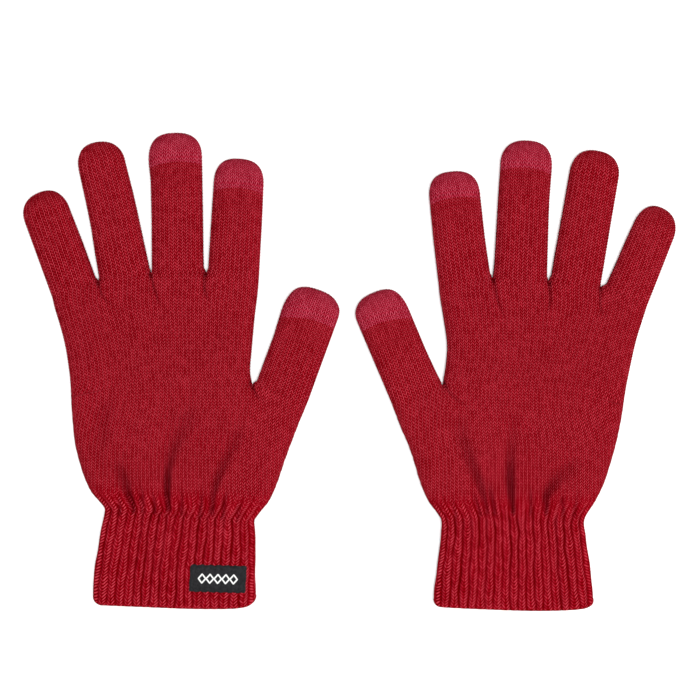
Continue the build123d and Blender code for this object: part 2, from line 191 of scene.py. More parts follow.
def resample(curve, n):
    """n + 1 points at equal distances along a dense curve."""
    d = np.r_[0, np.cumsum(np.linalg.norm(np.diff(curve, axis=0), axis=1))]
    s = np.linspace(0, d[-1], n + 1)
    return np.stack([np.interp(s, d, curve[:, k]) for k in range(curve.shape[1])], axis=1)


def top_shape(t):
    t = np.clip(t, 0, 1)
    return (1 - (1 - t) ** 2.3) ** (1 / 2.15)


def low_shape(t):
    t = np.clip(t * 1.5, 0, 1)
    return (1 - (1 - t) ** 3.0) ** (1 / 2.2)


def waves(x, y, seed):
    """Gentle unevenness, from -1 to 1."""
    r = np.random.RandomState(seed)
    out = np.zeros_like(x)
    for k in range(7):
        lam = 13 + 30 * r.rand()
        a = r.rand() * math.pi
        out += np.sin((x * math.cos(a) + y * math.sin(a)) * 2 * math.pi / lam + r.rand() * 6.28) * (lam / 43)
    return out / 3.0


# ------------------------------------------------------------------ one glove
class Glove:
    """Grid of one glove. A right glove is worked out mirrored, then turned over at the end."""

    def __init__(self, side):
        self.side = side
        self.m = 1.0 if side == "left" else -1.0
        stalls, sides, folds = (LEFT, LEFT_SIDES, LEFT_FOLDS) if side == "left" else (RIGHT, RIGHT_SIDES, RIGHT_FOLDS)
        m = self.m
        flip = lambda pts: [(x * m, y) for x, y in pts]
        self.stalls = {}
        for n, (root, lean, length, tr, ex, shift, tilt, touch, widths) in stalls.items():
            if m < 0:
                widths = [(s, b, a) for s, a, b in widths]
            self.stalls[n] = dict(root=(root[0] * m, root[1]), lean=math.radians(lean) * m, length=length, tr=tr, ex=ex,
                                  shift=shift * m, tilt=tilt * m, touch=touch, widths=np.array(widths, float))
        self.sides = {k: (flip(v) if isinstance(v, list) else v) for k, v in sides.items()}
        self.folds = [spline([(x * m, y, d, w) for x, y, d, w in line], 90) for line in folds]
        self.c = [0]
        for n in WALES:
            self.c.append(self.c[-1] + n * CPW)
        self.seed = 11 if side == "left" else 23
        self.build_boundaries()
        self.verts = []          # x, y, z, mm
        self.info = []           # column, row, face (1 top, -1 bottom), region code, course tilt
        self.key = {}
        self.build_grid()

    # -------------------------------------------------- boundaries of the strips
    def edge(self, name, s):
        f = self.stalls[name]
        w = f["widths"]
        return np.interp(s, w[:, 0], w[:, 1]), np.interp(s, w[:, 0], w[:, 2])

    def place(self, name, s, t):
        f = self.stalls[name]
        a = f["lean"]
        x = f["root"][0] + math.sin(a) * s + math.cos(a) * t
        y = f["root"][1] + math.cos(a) * s - math.sin(a) * t
        return x, y

    def build_boundaries(self):
        s = self.sides
        wl, _ = self.edge("little", 0)
        _, wr = self.edge("index", 0)
        _, wt = self.edge("thumb", 0)
        little = spline(s["little"] + [self.place("little", 0, -wl)])
        index = spline(s["index"] + [self.place("index", 0, wr)])
        thumb = spline(s["thumb"] + [self.place("thumb", 0, wt)])
        self.x_little = lambda y: np.interp(y, little[:, 1], little[:, 0])
        self.x_thumb = lambda y: np.interp(y, thumb[:, 1], thumb[:, 0])
        self.x_index = lambda y: np.interp(y, index[:, 1], index[:, 0])
        notch = s["index"][0]
        total = self.c[5]
        c4 = self.c[4]
        end_fr = (notch[0] - self.x_little(notch[1])) / (self.x_thumb(notch[1]) - self.x_little(notch[1]))
        # boundary 4 goes up to the thumb crotch, then along the index side
        wrist = self.wrist_at(c4 / total)
        y4 = np.linspace(wrist, notch[1], 200)
        fr4 = c4 / total + (end_fr - c4 / total) * smooth((y4 - wrist) / (notch[1] - wrist))
        x4 = self.x_little(y4) + (self.x_thumb(y4) - self.x_little(y4)) * fr4
        self.x_mid4 = lambda y: np.where(y <= notch[1], np.interp(y, y4, x4), self.x_index(y))
        low4 = np.stack([x4, y4], axis=1)
        up = [low4, index[1:]]
        bounds = []
        span_low = lambda y: (self.x_little(y), self.x_mid4(y))
        cut = lambda curve, y0: curve[curve[:, 1] >= y0 - 1e-6]
        wrist = self.wrist_at(0.0)
        b0 = np.vstack([[[self.x_little(wrist), wrist]], little[little[:, 1] > wrist + 0.05]])
        bounds.append(resample(b0, J1))
        for k, (cx, cy) in enumerate(s["crotch"], start=1):
            y = np.linspace(self.wrist_at(self.c[k] / total), cy, 300)
            xl, xr = self.x_little(y), np.where(y < low4[0, 1], low4[0, 0], self.x_mid4(y))
            f0 = self.c[k] / c4
            xa, xb = span_low(np.array([cy]))
            f1 = (cx - xa[0]) / (xb[0] - xa[0])
            fr = f0 + (f1 - f0) * smooth((y - 0.0) / (cy - 0.0))
            bounds.append(resample(np.stack([xl + (xr - xl) * fr, y], axis=1), J1))
        low = resample(low4, JT)
        high = resample(index, J1 - JT)
        bounds.append(np.vstack([low, high[1:]]))
        wrist = self.wrist_at(1.0)
        b5 = np.vstack([[[self.x_thumb(wrist), wrist]], thumb[thumb[:, 1] > wrist + 0.05]])
        bounds.append(resample(b5, JT))
        self.bounds = bounds
        # the cuff hangs from the wrist row: rows below it follow both sides down to the hem
        hem = spline(sorted(s["hem"]), 200)
        self.hem_y = lambda x: np.interp(x, hem[:, 0], hem[:, 1])
        self.cuff_rows = int(round((self.wrist_at(0.5) - hem[:, 1].mean()) / CUFF_ROW))

    def wrist_at(self, f):
        a, b = self.sides["wrist"]
        return a + (b - a) * f

    # -------------------------------------------------- heights
    def palm_height(self, x, y):
        """Thickness of the hand and stalls over the floor."""
        return 7.9 + 0.35 * waves(x, y, self.seed) + 0.2 * waves(x * 2.3, y * 1.4, self.seed + 1)

    def strip_row(self, left, right, ml, mr, cols, low=False):
        """Points across a strip from left to right, columns at equal arc length of its own profile.

        ml, mr say how fully the strip rounds down at its two edges.
        """
        width = math.dist(left, right)
        f = np.linspace(0, 1, 161)
        e_l, e_r = f * width, (1 - f) * width
        sl = 1 - ml * (1 - top_shape(e_l / EDGE))
        sr = 1 - mr * (1 - top_shape(e_r / EDGE))
        z = 4.0 * sl * sr
        d = np.hypot(np.diff(f) * width, np.diff(z))
        s = np.r_[0, np.cumsum(d)]
        g = np.interp(np.linspace(0, s[-1], cols + 1), s, f)
        # a share of plain spacing keeps the wales even across the flat
        g = 0.75 * g + 0.25 * np.linspace(0, 1, cols + 1)
        return g, width

    def add(self, key, xyz, info):
        i = self.key.get(key)
        if i is None:
            i = len(self.verts)
            self.key[key] = i
            self.verts.append(xyz)
            self.info.append(info)
        return i

    def build_grid(self):
        """Vertex numbers of every row, on both faces: self.rows[(part, row, face)] = list over columns."""
        c = self.c
        self.rows = {}
        # ---- hand and cuff rows
        for j in range(-self.cuff_rows, J1 + 1):
            strips = []
            for k in range(5):
                if k == 4 and j > JT:
                    continue
                if j >= 0:
                    left = self.bounds[k][j]
                    right = self.bounds[k + 1][j]
                else:
                    v = -j / self.cuff_rows
                    x0, x1 = self.cuff_x(v)
                    fa, fb = (f - LEAN[self.side] * v * 4 * f * (1 - f) for f in (c[k] / c[5], c[k + 1] / c[5]))
                    left = (x0 + (x1 - x0) * fa, 0)
                    right = (x0 + (x1 - x0) * fb, 0)
                ml = self.crotch_mix(k, j)
                mr = self.crotch_mix(k + 1, j)
                strips.append((k, left, right, ml, mr))
            for face in (1, -1):
                ids = {}
                for k, left, right, ml, mr in strips:
                    cols = c[k + 1] - c[k]
                    g, width = self.strip_row(left, right, ml, mr, cols)
                    for i in range(cols + 1):
                        col = c[k] + i
                        if col in ids:
                            continue
                        if j >= 0:
                            x = left[0] + (right[0] - left[0]) * g[i]
                            y = left[1] + (right[1] - left[1]) * g[i]
                        else:
                            x = left[0] + (right[0] - left[0]) * g[i]
                            y = None
                        ids[col] = (x, y, g[i] * width, (1 - g[i]) * width, ml, mr)
                out = []
                for col in sorted(ids):
                    x, y, el, er, ml, mr = ids[col]
                    shared = self.is_rim(col, j)
                    if y is None:
                        y = self.cuff_y(col, x, j)
                    sl = 1 - ml * (1 - (top_shape if face > 0 else low_shape)(el / EDGE))
                    sr = 1 - mr * (1 - (top_shape if face > 0 else low_shape)(er / EDGE))
                    lift = float(sl * sr)
                    out.append(self.add(("h", j, col, 0 if shared else face), (x, y, lift), (col, j, face, 0, 0.0)))
                self.rows[("hand", j, face)] = out
        # ---- stalls
        for k, name in enumerate(NAMES):
            self.build_stall(k, name)

    def cuff_x(self, v):
        ya, yb = (self.wrist_at(f) + (-108.3 - self.wrist_at(f)) * v for f in (0.0, 1.0))
        return float(self.x_little(ya)), float(self.x_thumb(yb))

    def cuff_y(self, col, x, j):
        """Height on the page of a cuff row, its lower corners rounded."""
        wrist = self.wrist_at(col / self.c[5])
        v = -j / self.cuff_rows
        x0, x1 = self.cuff_x(v)
        e = min(x - x0, x1 - x)
        hem = float(self.hem_y(x))
        corner = 4.6 if self.side == "left" else 3.4
        if e < corner:
            hem += (corner - math.sqrt(max(corner**2 - (corner - e) ** 2, 0.0))) * 0.95
        return wrist + (hem - wrist) * v

    def is_rim(self, col, j):
        c = self.c
        if col == 0:
            return True
        if j <= JT and col == c[5]:
            return True
        if j >= JT and col == c[4]:
            return True
        if j == J1 and col in c[:5]:
            return True
        return False

    def crotch_mix(self, k, j):
        """How fully the surface rounds down at strip boundary k in row j."""
        if k == 0:
            return 1.0
        if k == 5:
            return 1.0
        if k == 4:
            return 1.0 if j >= JT else math.exp(-(JT - j) * ROW / 1.8)
        return math.exp(-(J1 - j) * ROW / 1.8)

    def build_stall(self, k, name):
        f = self.stalls[name]
        c = self.c
        j0 = JT if name == "thumb" else J1
        cols = c[k + 1] - c[k]
        run = f["length"] - f["tr"]
        n_run = int(round(run / ROW))
        # courses of the rounded end lie at equal distances along its own curve
        n_tip = int(round((f["tr"] + 2.4) / ROW))
        q = np.linspace(0, f["tr"], 300)
        zz = 4.0 * top_shape((f["tr"] - q) / EDGE)
        d = np.r_[0, np.cumsum(np.hypot(np.diff(q), np.diff(zz)))]
        tip_q = np.interp(np.linspace(0, d[-1], n_tip + 1), d, q) / f["tr"]
        self.stalls[name]["n_rows"] = n_run + n_tip
        root_l = self.bounds[k][j0]
        root_r = self.bounds[k + 1][j0]
        for face in (1, -1):
            self.rows[(name, j0, face)] = [self.rows[("hand", j0, face)][i] for i in range(c[k], c[k + 1] + 1)]
        wl_t, wr_t = self.edge(name, run)
        ex = f["ex"]
        split = math.radians(52)
        tilt = f["tilt"]
        for r in range(1, n_run + n_tip + 1):
            j = j0 + r
            if r <= n_run:
                s = run * r / n_run
                wl, wr = self.edge(name, s)
                g, _ = self.strip_row((0, 0), (wl + wr, 0), 1.0, 1.0, cols)
                t = -wl + (wl + wr) * g
                ss = np.full(cols + 1, s)
                near = float(1 - smooth(s / 2.6))
                rho = np.where(t < 0, -t / wl, t / wr)
                w_eff = 0.5 * (wl + wr)
                bend = float(smooth(s / 18.0))
            else:
                u = tip_q[r - n_run]
                th = u * split
                g, _ = self.strip_row((0, 0), (wl_t + wr_t, 0), 1.0, 1.0, cols)
                fr = 2 * g - 1                     # -1 .. 1
                sh = f["shift"] * float(smooth(u))
                wl, wr = wl_t + sh, wr_t - sh
                cb = math.cos(th) ** (2 / ex)
                sb = math.sin(th) ** (2 / ex) if th > 0 else 0.0
                cs = math.cos(split) ** (2 / ex)
                s_split = math.sin(split) ** (2 / ex)
                half = np.where(fr < 0, wl, wr)
                t = sh + fr * half * cb
                y_top = (1 - (np.abs(fr) * cs) ** ex) ** (1 / ex)
                ss = run + f["tr"] * (sb + (y_top - s_split) * u ** 1.7)
                rho = (np.minimum(np.abs(t - sh) / half, 1) ** ex + np.minimum((ss - run) / f["tr"], 1) ** ex) ** (1 / ex)
                if r == n_run + n_tip:
                    rho[:] = 1.0
                rho[0] = rho[-1] = 1.0
                near = 0.0
                w_eff = 0.5 * (wl_t + wr_t)
                bend = float(1 - smooth(u))
            ss2 = ss + bend * (tilt * t + 0.9 * (1 - np.minimum((t / w_eff) ** 2, 1)))
            x, y = self.place(name, ss2, t)
            if near > 0:
                # edges start from the crotch
                for end, root in ((0, root_l), (-1, root_r)):
                    ex0, ey0 = x[end], y[end]
                    a = f["lean"]
                    tx = root[0] + math.sin(a) * ss[end]
                    ty = root[1] + math.cos(a) * ss[end]
                    wgt = np.clip(1 - np.abs(np.arange(cols + 1) - (0 if end == 0 else cols)) / (cols * 0.35), 0, 1) * near
                    x = x + (tx - ex0) * wgt
                    y = y + (ty - ey0) * wgt
            e = (1 - np.clip(rho, 0, 1)) * w_eff
            last = r == n_run + n_tip
            for face in (1, -1):
                shape = top_shape if face > 0 else low_shape
                lift = shape(e / EDGE)
                if r <= n_run:
                    el, er = (t + wl), (wr - t)
                    lift = shape(np.maximum(el, 0) / EDGE) * shape(np.maximum(er, 0) / EDGE)
                else:
                    # the same product of both edges, times the tip's own rounding
                    lift = shape(e / EDGE) * np.where(e / EDGE > 1, 1, 1)
                    el, er = (t + wl_t), (wr_t - t)
                    base = shape(np.maximum(el, 0) / EDGE) * shape(np.maximum(er, 0) / EDGE)
                    mixw = float(smooth(tip_q[r - n_run] * 1.5))
                    lift = base * (1 - mixw) + lift * mixw
                    lift = np.where(rho >= 1.0, 0.0, lift)
                    # what is left of the tip's rounding towards the end
                    q_left = np.maximum(f["tr"] * (1 - (ss - run) / f["tr"]), 0)
                row = []
                for i in range(cols + 1):
                    col = c[k] + i
                    shared = i in (0, cols) or last
                    row.append(self.add((name, j, col, 0 if shared else face), (float(x[i]), float(y[i]), 0.0 if shared else float(lift[i])),
                                        (col, j, face, k + 1, 0.0)))
                self.rows[(name, j, face)] = row

    # -------------------------------------------------- final shape
    def relief(self, xyz, col, row, face, part):
        """Height of the knit above its base surface, and the painted shade that darkens its colour in folds and rib
        grooves (0 to 1).
        """
        x, y = xyz[:, 0], xyz[:, 1]
        in_hand = part == 0
        vc = self.vc
        a, b = self.sides["wrist"]
        d = y - (a + (b - a) * col / self.c[5])             # above the wrist
        cuff = np.where(in_hand, smooth((9.5 - d) / 9.0), 0)
        # plain knit: two legs to a stitch, leaning away from the middle of the wale
        p = self.wale - np.floor(self.wale)
        off = np.abs(2 * p - 1)                             # 0 in the middle of a wale, 1 between wales
        # where the wales are let out of step with the grid, the finest relief fades
        low = np.where(in_hand, smooth((70 - d) / 12.0), 0)
        plain = (-0.055 * np.cos(2 * np.pi * p) - 0.1025 * np.cos(4 * np.pi * p) * (1 - 0.85 * low)
                 - 0.11 * np.cos(2 * np.pi * (vc - 0.9 * off)) * (1 - 0.55 * low))
        # ribs
        r = np.random.RandomState(self.seed + 5)
        ribs = col / self.c[5] * RIBS
        wob = 0.05 * np.sin(y * 0.23 + np.round(ribs) * 2.3 + self.seed) + 0.035 * np.sin(y * 0.47 + np.round(ribs) * 4.1) + 0.05 * np.sin(y * 0.11 + ribs * 0.45)
        u = ribs + np.where(in_hand, wob * smooth((8 - d) / 16), 0)
        self.rib_u = u
        lam = 4.0 + 6.5 * r.rand(RIBS + 2)
        amp = 0.55 + 0.85 * r.rand(RIBS + 2)
        gi = np.clip(np.round(u).astype(int), 0, RIBS)      # nearest groove
        away = np.abs(u - np.round(u))                      # in ribs
        above = np.maximum(d + 1.0, 0)
        ring = np.exp(-(d + 1.0) ** 2 / 8.0)                # the wrist line draws the knit in
        depth = (0.44 + 0.2 * ring) * amp[gi] * np.exp(-above / lam[gi])
        sig = 0.14 + 0.012 * np.clip(above, 0, 14)
        groove = np.exp(-(away / sig) ** 2)
        crown = 0.22 * np.cos(np.pi * 2 * (u - np.floor(u) - 0.5)) * np.exp(-above / 4.0)
        rib = np.where(in_hand, -depth * groove + crown, 0)
        av = 2 * np.abs(u - np.floor(u) - 0.5)
        vee = -0.07 * np.cos(2 * np.pi * (vc - 1.38 * av)) * (1 - 0.8 * groove)
        h = plain * (1 - cuff) + vee * cuff + rib
        # painted shade: the knit's colour is darkened in the grooves between the ribs, more at the wrist line
        crease_shade = np.clip((0.12 + 0.12 * ring) * groove * amp[gi] * np.exp(-above / lam[gi]) * np.where(in_hand, 1, 0), 0, 1)
        # folds
        top = face >= 0
        for line in self.folds:
            lo, hi = line.min(axis=0), line.max(axis=0)
            near = np.where(top & (x > lo[0] - 9) & (x < hi[0] + 9) & (y > lo[1] - 9) & (y < hi[1] + 9))[0]
            if not len(near):
                continue
            dx = x[near][:, None] - line[None, :, 0]
            dy = y[near][:, None] - line[None, :, 1]
            k = np.argmin(dx * dx + dy * dy, axis=1)
            dist = np.sqrt((dx * dx + dy * dy)[np.arange(len(near)), k])
            dep, wid = line[k, 2], line[k, 3]
            g = np.maximum(dep, 0) * np.exp(-(dist / wid) ** 2)
            # stalls keep their own edges
            g = np.where(part[near] > 0, g * 0.0, g)
            h[near] -= g
            # painted shade: the colour along a fold is darkened, more for deep narrow folds
            crease_shade[near] = np.maximum(crease_shade[near], np.clip(g / np.where(wid < 0.8, 1.25, 1.15 * np.sqrt(np.maximum(wid, 1.2))) * 0.55, 0, 0.85))
        return h, crease_shade

    def finish(self):
        v = np.array(self.verts, float)
        info = np.array(self.info, float)
        col, row, face, part = info[:, 0], info[:, 1], info[:, 2], info[:, 3]
        self.vc = np.where(row < 0, row / 4.0, row / 2.0)   # courses above the wrist
        lift = v[:, 2].copy()
        x, y = v[:, 0], v[:, 1]
        high = self.palm_height(x, y)
        a, b = self.sides["wrist"]
        d = y - (a + (b - a) * col / self.c[5])
        self.above = np.where(part == 0, d, 99.0)
        cuff = np.where(part == 0, smooth((3.0 - d) / 6.0), 0)
        high = high * (1 - cuff) + 7.9 * cuff
        high = high + np.where(part == 0, 0.75 * np.exp(-((d - 8.0) / 5.5) ** 2), 0)     # gathered fullness over the wrist
        # stalls lie a little rounder than the palm
        stall = np.where(part > 0, 1.0, np.where(row > 0, np.exp(-(J1 - row) / 24.0), 0))
        high = high + 0.2 * stall
        # the hem rolls in at the very edge
        hem = np.where(part == 0, np.clip((row + self.cuff_rows) / 6.0, 0, 1), 1.0)
        roll = 0.55 * (1 - np.sqrt(1 - (1 - hem) ** 2))
        z = np.where(face > 0, Z_MID + (high - roll - Z_MID) * lift, Z_MID + (roll - Z_MID) * lift)
        z = np.where(lift == 0, Z_MID, z)
        v[:, 2] = z
        self.base = v.copy()
        faces = self.outer_faces()
        self.faces = faces
        nrm = vertex_normals(v, faces)
        rimmed = face.copy()
        rimmed[lift == 0] = 0
        self.v = v
        self.col, self.row, self.part, self.face = col, row, part, face
        self.wale = self.wale_u()
        h, crease_shade = self.relief(v, col, row, rimmed, part)
        h *= np.where(part == 0, 0.12 + 0.88 * hem, 1.0)
        v = v + nrm * h[:, None]
        # the under face rests on the floor, so its relief only goes inwards
        v[:, 2] = np.maximum(v[:, 2], 0.03)
        self.v = v
        self.crease_shade = crease_shade
        self.nrm = vertex_normals(v, faces)
        self.tip_row = {}
        for k, name in enumerate(NAMES):
            if self.stalls[name]["touch"] > 0:
                self.tip_row[name] = (JT if name == "thumb" else J1) + self.stall_cuts(name)[1]
        self.make_inner()

    def wale_u(self):
        """Stitch coordinate across the wales. Where the hand narrows to the wrist the wales
        keep their width and the spare ones are taken up in the folds."""
        u = self.col / CPW
        out = u.copy()
        mid = self.c[5] / CPW / 2.0
        n = self.c[5] / CPW
        rows = sorted({int(r) for r in self.row[self.part == 0]})
        x = self.v[:, 0]
        wide = []
        for r in rows:
            at = (self.part == 0) & (self.row == r)
            wide.append(x[at].max() - x[at].min())
        wide = np.array(wide)
        pitch = np.interp(self.row, rows, wide) / n
        full = 1.74
        k = np.clip(pitch / full, 0.5, 1.0)
        low = (self.part == 0) & (self.above < 62.0)
        k = np.where(low, k, 1.0)
        ease = smooth((62.0 - self.above) / 24.0)
        k = 1 + (k - 1) * ease
        return mid + (out - mid) * k

    def outer_faces(self):
        """All outer faces as [piece, quad] with a piece name for each."""
        self.piece_faces = {}
        c = self.c
        out = []
        # the cuff's piece begins above the zone that bends at the wrist
        clear_y = joint(f"{self.side}_cuff_turn_up")["pos_m"][1] / MM - SY + 8.0
        self.j_cuff = next(j for j in range(0, JT) if min(self.base[i][1] for i in self.rows[("hand", j, 1)]) > clear_y)

        def put(piece, a, b, d, e, flip):
            q = [a, b, d, e]
            ids = []
            for i in q:
                if i not in ids:
                    ids.append(i)
            if len(ids) < 3:
                return
            if flip:
                ids = ids[::-1]
            self.piece_faces.setdefault(piece, []).append(ids)
            out.append(ids)

        for face in (1, -1):
            flip = face < 0
            for j in range(-self.cuff_rows, J1):
                lo, hi = self.rows[("hand", j, face)], self.rows[("hand", j + 1, face)]
                n = min(len(lo), len(hi)) - 1
                if j < JT:
                    n = c[5]
                else:
                    n = c[4]
                if j < -self.cuff_rows + WELT_ROWS:
                    piece = "cuff_welt"
                elif j < self.j_cuff:
                    piece = "cuff_rib"
                else:
                    piece = "hand_knit"
                for i in range(n):
                    put(piece, lo[i], lo[i + 1], hi[i + 1], hi[i], flip)
            for k, name in enumerate(NAMES):
                j0 = JT if name == "thumb" else J1
                nr = self.stalls[name]["n_rows"]
                cut_end, cut_tip = self.stall_cuts(name)
                for r in range(nr):
                    lo, hi = self.rows[(name, j0 + r, face)], self.rows[(name, j0 + r + 1, face)]
                    piece = f"{name}_lower" if r < cut_end else (f"{name}_upper" if r < cut_tip else f"{name}_touch_knit")
                    for i in range(len(lo) - 1):
                        put(piece, lo[i], lo[i + 1], hi[i + 1], hi[i], flip)
        return out

    def stall_cuts(self, name):
        """Rows where a stall's lower piece ends and where its touch tip begins."""
        f = self.stalls[name]
        run = f["length"] - f["tr"]
        step = run / int(round(run / ROW))
        mid = 8.0 + self.bend_of(name)
        cut_end = int(round((mid - BEND_HALF) / step))
        cut_tip = f["n_rows"] + 1
        if f["touch"] > 0:
            cut_tip = int(round(f["touch"] / step))
        return cut_end, cut_tip

    def bend_of(self, name):
        a = Vector(joint(f"{self.side}_{name}_knuckle")["pos_m"])
        b = Vector(joint(f"{self.side}_{name}_middle_bend")["pos_m"])
        return (b - a).length / MM

    # -------------------------------------------------- inner skin
    def make_inner(self):
        """A coarser inner skin, one knit thickness inside the outer one, and the rims that close each piece."""
        base = self.v
        nrm = self.nrm
        self.inner_of = {}
        self.inner_v = []
        self.inner_faces = {}
        self.rim_faces = {}

        def inner(i):
            k = self.inner_of.get(i)
            if k is None:
                k = len(self.inner_v)
                self.inner_of[i] = k
                p = self.base[i].copy()
                if p[2] >= Z_MID - 1e-6 and self.face[i] > 0 and not self.is_edge[i]:
                    p[2] = max(p[2] - WALL - 0.35 - self.sink[i], Z_MID + 0.25)
                elif not self.is_edge[i]:
                    p[2] = min(p[2] + WALL + 0.2, Z_MID - 0.25)
                else:
                    p[:2] -= self.base_nrm[i][:2] * WALL
                self.inner_v.append(p)
            return k

        self.base_nrm = vertex_normals(self.base, self.faces)
        self.is_edge = np.array([kk[-1] == 0 for kk in self.key.keys()])
        sink = self.base[:, 2] - self.v[:, 2]
        self.sink = np.clip(sink, 0, 3) * 0.8
        c = self.c
        S = 4

        def grid(piece, lo, hi, flip):
            for i in range(0, len(lo) - 1, S):
                q = [inner(lo[i]), inner(lo[i + S]), inner(hi[i + S]), inner(hi[i])]
                ids = []
                for t in q:
                    if t not in ids:
                        ids.append(t)
                if len(ids) < 3:
                    continue
                if not flip:
                    ids = ids[::-1]
                self.inner_faces.setdefault(piece, []).append(ids)

        def row_list(a, b, must, step=INNER_ROWS):
            rows = [a]
            while rows[-1] < b:
                nxt = min([rows[-1] + step, b] + [m for m in must if m > rows[-1]])
                rows.append(nxt)
            return rows

        low, welt, cut = -self.cuff_rows, -self.cuff_rows + WELT_ROWS, self.j_cuff
        spans = {"cuff_welt": (low, welt), "cuff_rib": (welt, cut), "hand_knit": (cut, J1)}
        for piece, (a, b) in spans.items():
            for face in (1, -1):
                rows = row_list(a, b, [0, JT], 2 * INNER_ROWS if a < 0 else INNER_ROWS)
                for ra, rb in zip(rows, rows[1:]):
                    lo, hi = self.rows[("hand", ra, face)], self.rows[("hand", rb, face)]
                    n = c[5] if rb <= JT else c[4]
                    grid(piece, lo[:n + 1], hi[:n + 1], face < 0)
        for k, name in enumerate(NAMES):
            j0 = JT if name == "thumb" else J1
            nr = self.stalls[name]["n_rows"]
            cut_end, cut_tip = self.stall_cuts(name)
            cuts = [0, cut_end, min(cut_tip, nr), nr] if cut_tip <= nr else [0, cut_end, nr]
            names = [f"{name}_lower", f"{name}_upper", f"{name}_touch_knit"]
            for (a, b), piece in zip(zip(cuts, cuts[1:]), names):
                end = b if b < nr else nr - 4
                rows = row_list(a, end, [])
                for face in (1, -1):
                    for ra, rb in zip(rows, rows[1:]):
                        grid(piece, self.rows[(name, j0 + ra, face)], self.rows[(name, j0 + rb, face)], face < 0)
                if b == nr:
                    # close the inner end with one strip between the two faces
                    top = self.rows[(name, j0 + end, 1)]
                    bot = self.rows[(name, j0 + end, -1)]
                    for i in range(0, len(top) - 1, S):
                        q = [inner(top[i]), inner(top[i + S]), inner(bot[i + S]), inner(bot[i])]
                        ids = []
                        for t in q:
                            if t not in ids:
                                ids.append(t)
                        if len(ids) >= 3:
                            self.inner_faces.setdefault(piece, []).append(ids[::-1])

        def rim(piece, part, j, c0, c1, outward):
            """Close a piece at a row: a ring of faces from the outer loop to the inner one."""
            for face in (1, -1):
                r = self.rows[(part, j, face)]
                r = r[c0:c1 + 1]
                for i in range(0, len(r) - 1, S):
                    seg = r[i:i + S + 1]
                    ids = [("o", q) for q in seg] + [("i", inner(seg[-1])), ("i", inner(seg[0]))]
                    uniq = []
                    for t in ids:
                        if t not in uniq:
                            uniq.append(t)
                    flip = (face > 0) == outward
                    self.rim_faces.setdefault(piece, []).append(uniq[::-1] if flip else uniq)

        rim("cuff_welt", "hand", low, 0, c[5], False)
        rim("cuff_welt", "hand", welt, 0, c[5], True)
        rim("cuff_rib", "hand", welt, 0, c[5], False)
        rim("cuff_rib", "hand", cut, 0, c[5], True)
        rim("hand_knit", "hand", cut, 0, c[5], False)
        for k, name in enumerate(NAMES):
            j0 = JT if name == "thumb" else J1
            nr = self.stalls[name]["n_rows"]
            cut_end, cut_tip = self.stall_cuts(name)
            rim("hand_knit", "hand", j0, c[k], c[k + 1], True)
            n = c[k + 1] - c[k]
            rim(f"{name}_lower", name, j0, 0, n, False)
            rim(f"{name}_lower", name, j0 + cut_end, 0, n, True)
            rim(f"{name}_upper", name, j0 + cut_end, 0, n, False)
            if cut_tip <= nr:
                rim(f"{name}_upper", name, j0 + cut_tip, 0, n, True)
                rim(f"{name}_touch_knit", name, j0 + cut_tip, 0, n, False)
        self.inner_v = np.array(self.inner_v, float)


BEND_HALF = 7.0


def vertex_normals(v, faces):
    """Area-weighted vertex normals of a list of triangles and quads."""
    n = np.zeros_like(v)
    quads = np.array([f for f in faces if len(f) == 4], int)
    tris = np.array([f for f in faces if len(f) == 3], int)
    if len(quads):
        a, b, c, d = (v[quads[:, i]] for i in range(4))
        fn = np.cross(c - a, d - b)
        for i in range(4):
            np.add.at(n, quads[:, i], fn)
    if len(tris):
        a, b, c = (v[tris[:, i]] for i in range(3))
        fn = np.cross(b - a, c - a)
        for i in range(3):
            np.add.at(n, tris[:, i], fn)
    ln = np.linalg.norm(n, axis=1, keepdims=True)
    ln[ln == 0] = 1
    return n / ln


PIECE_NAMES = {"cuff_rib": "cuff_ribbing", "cuff_welt": "cuff_hem"}      # the CAD holds the plain names


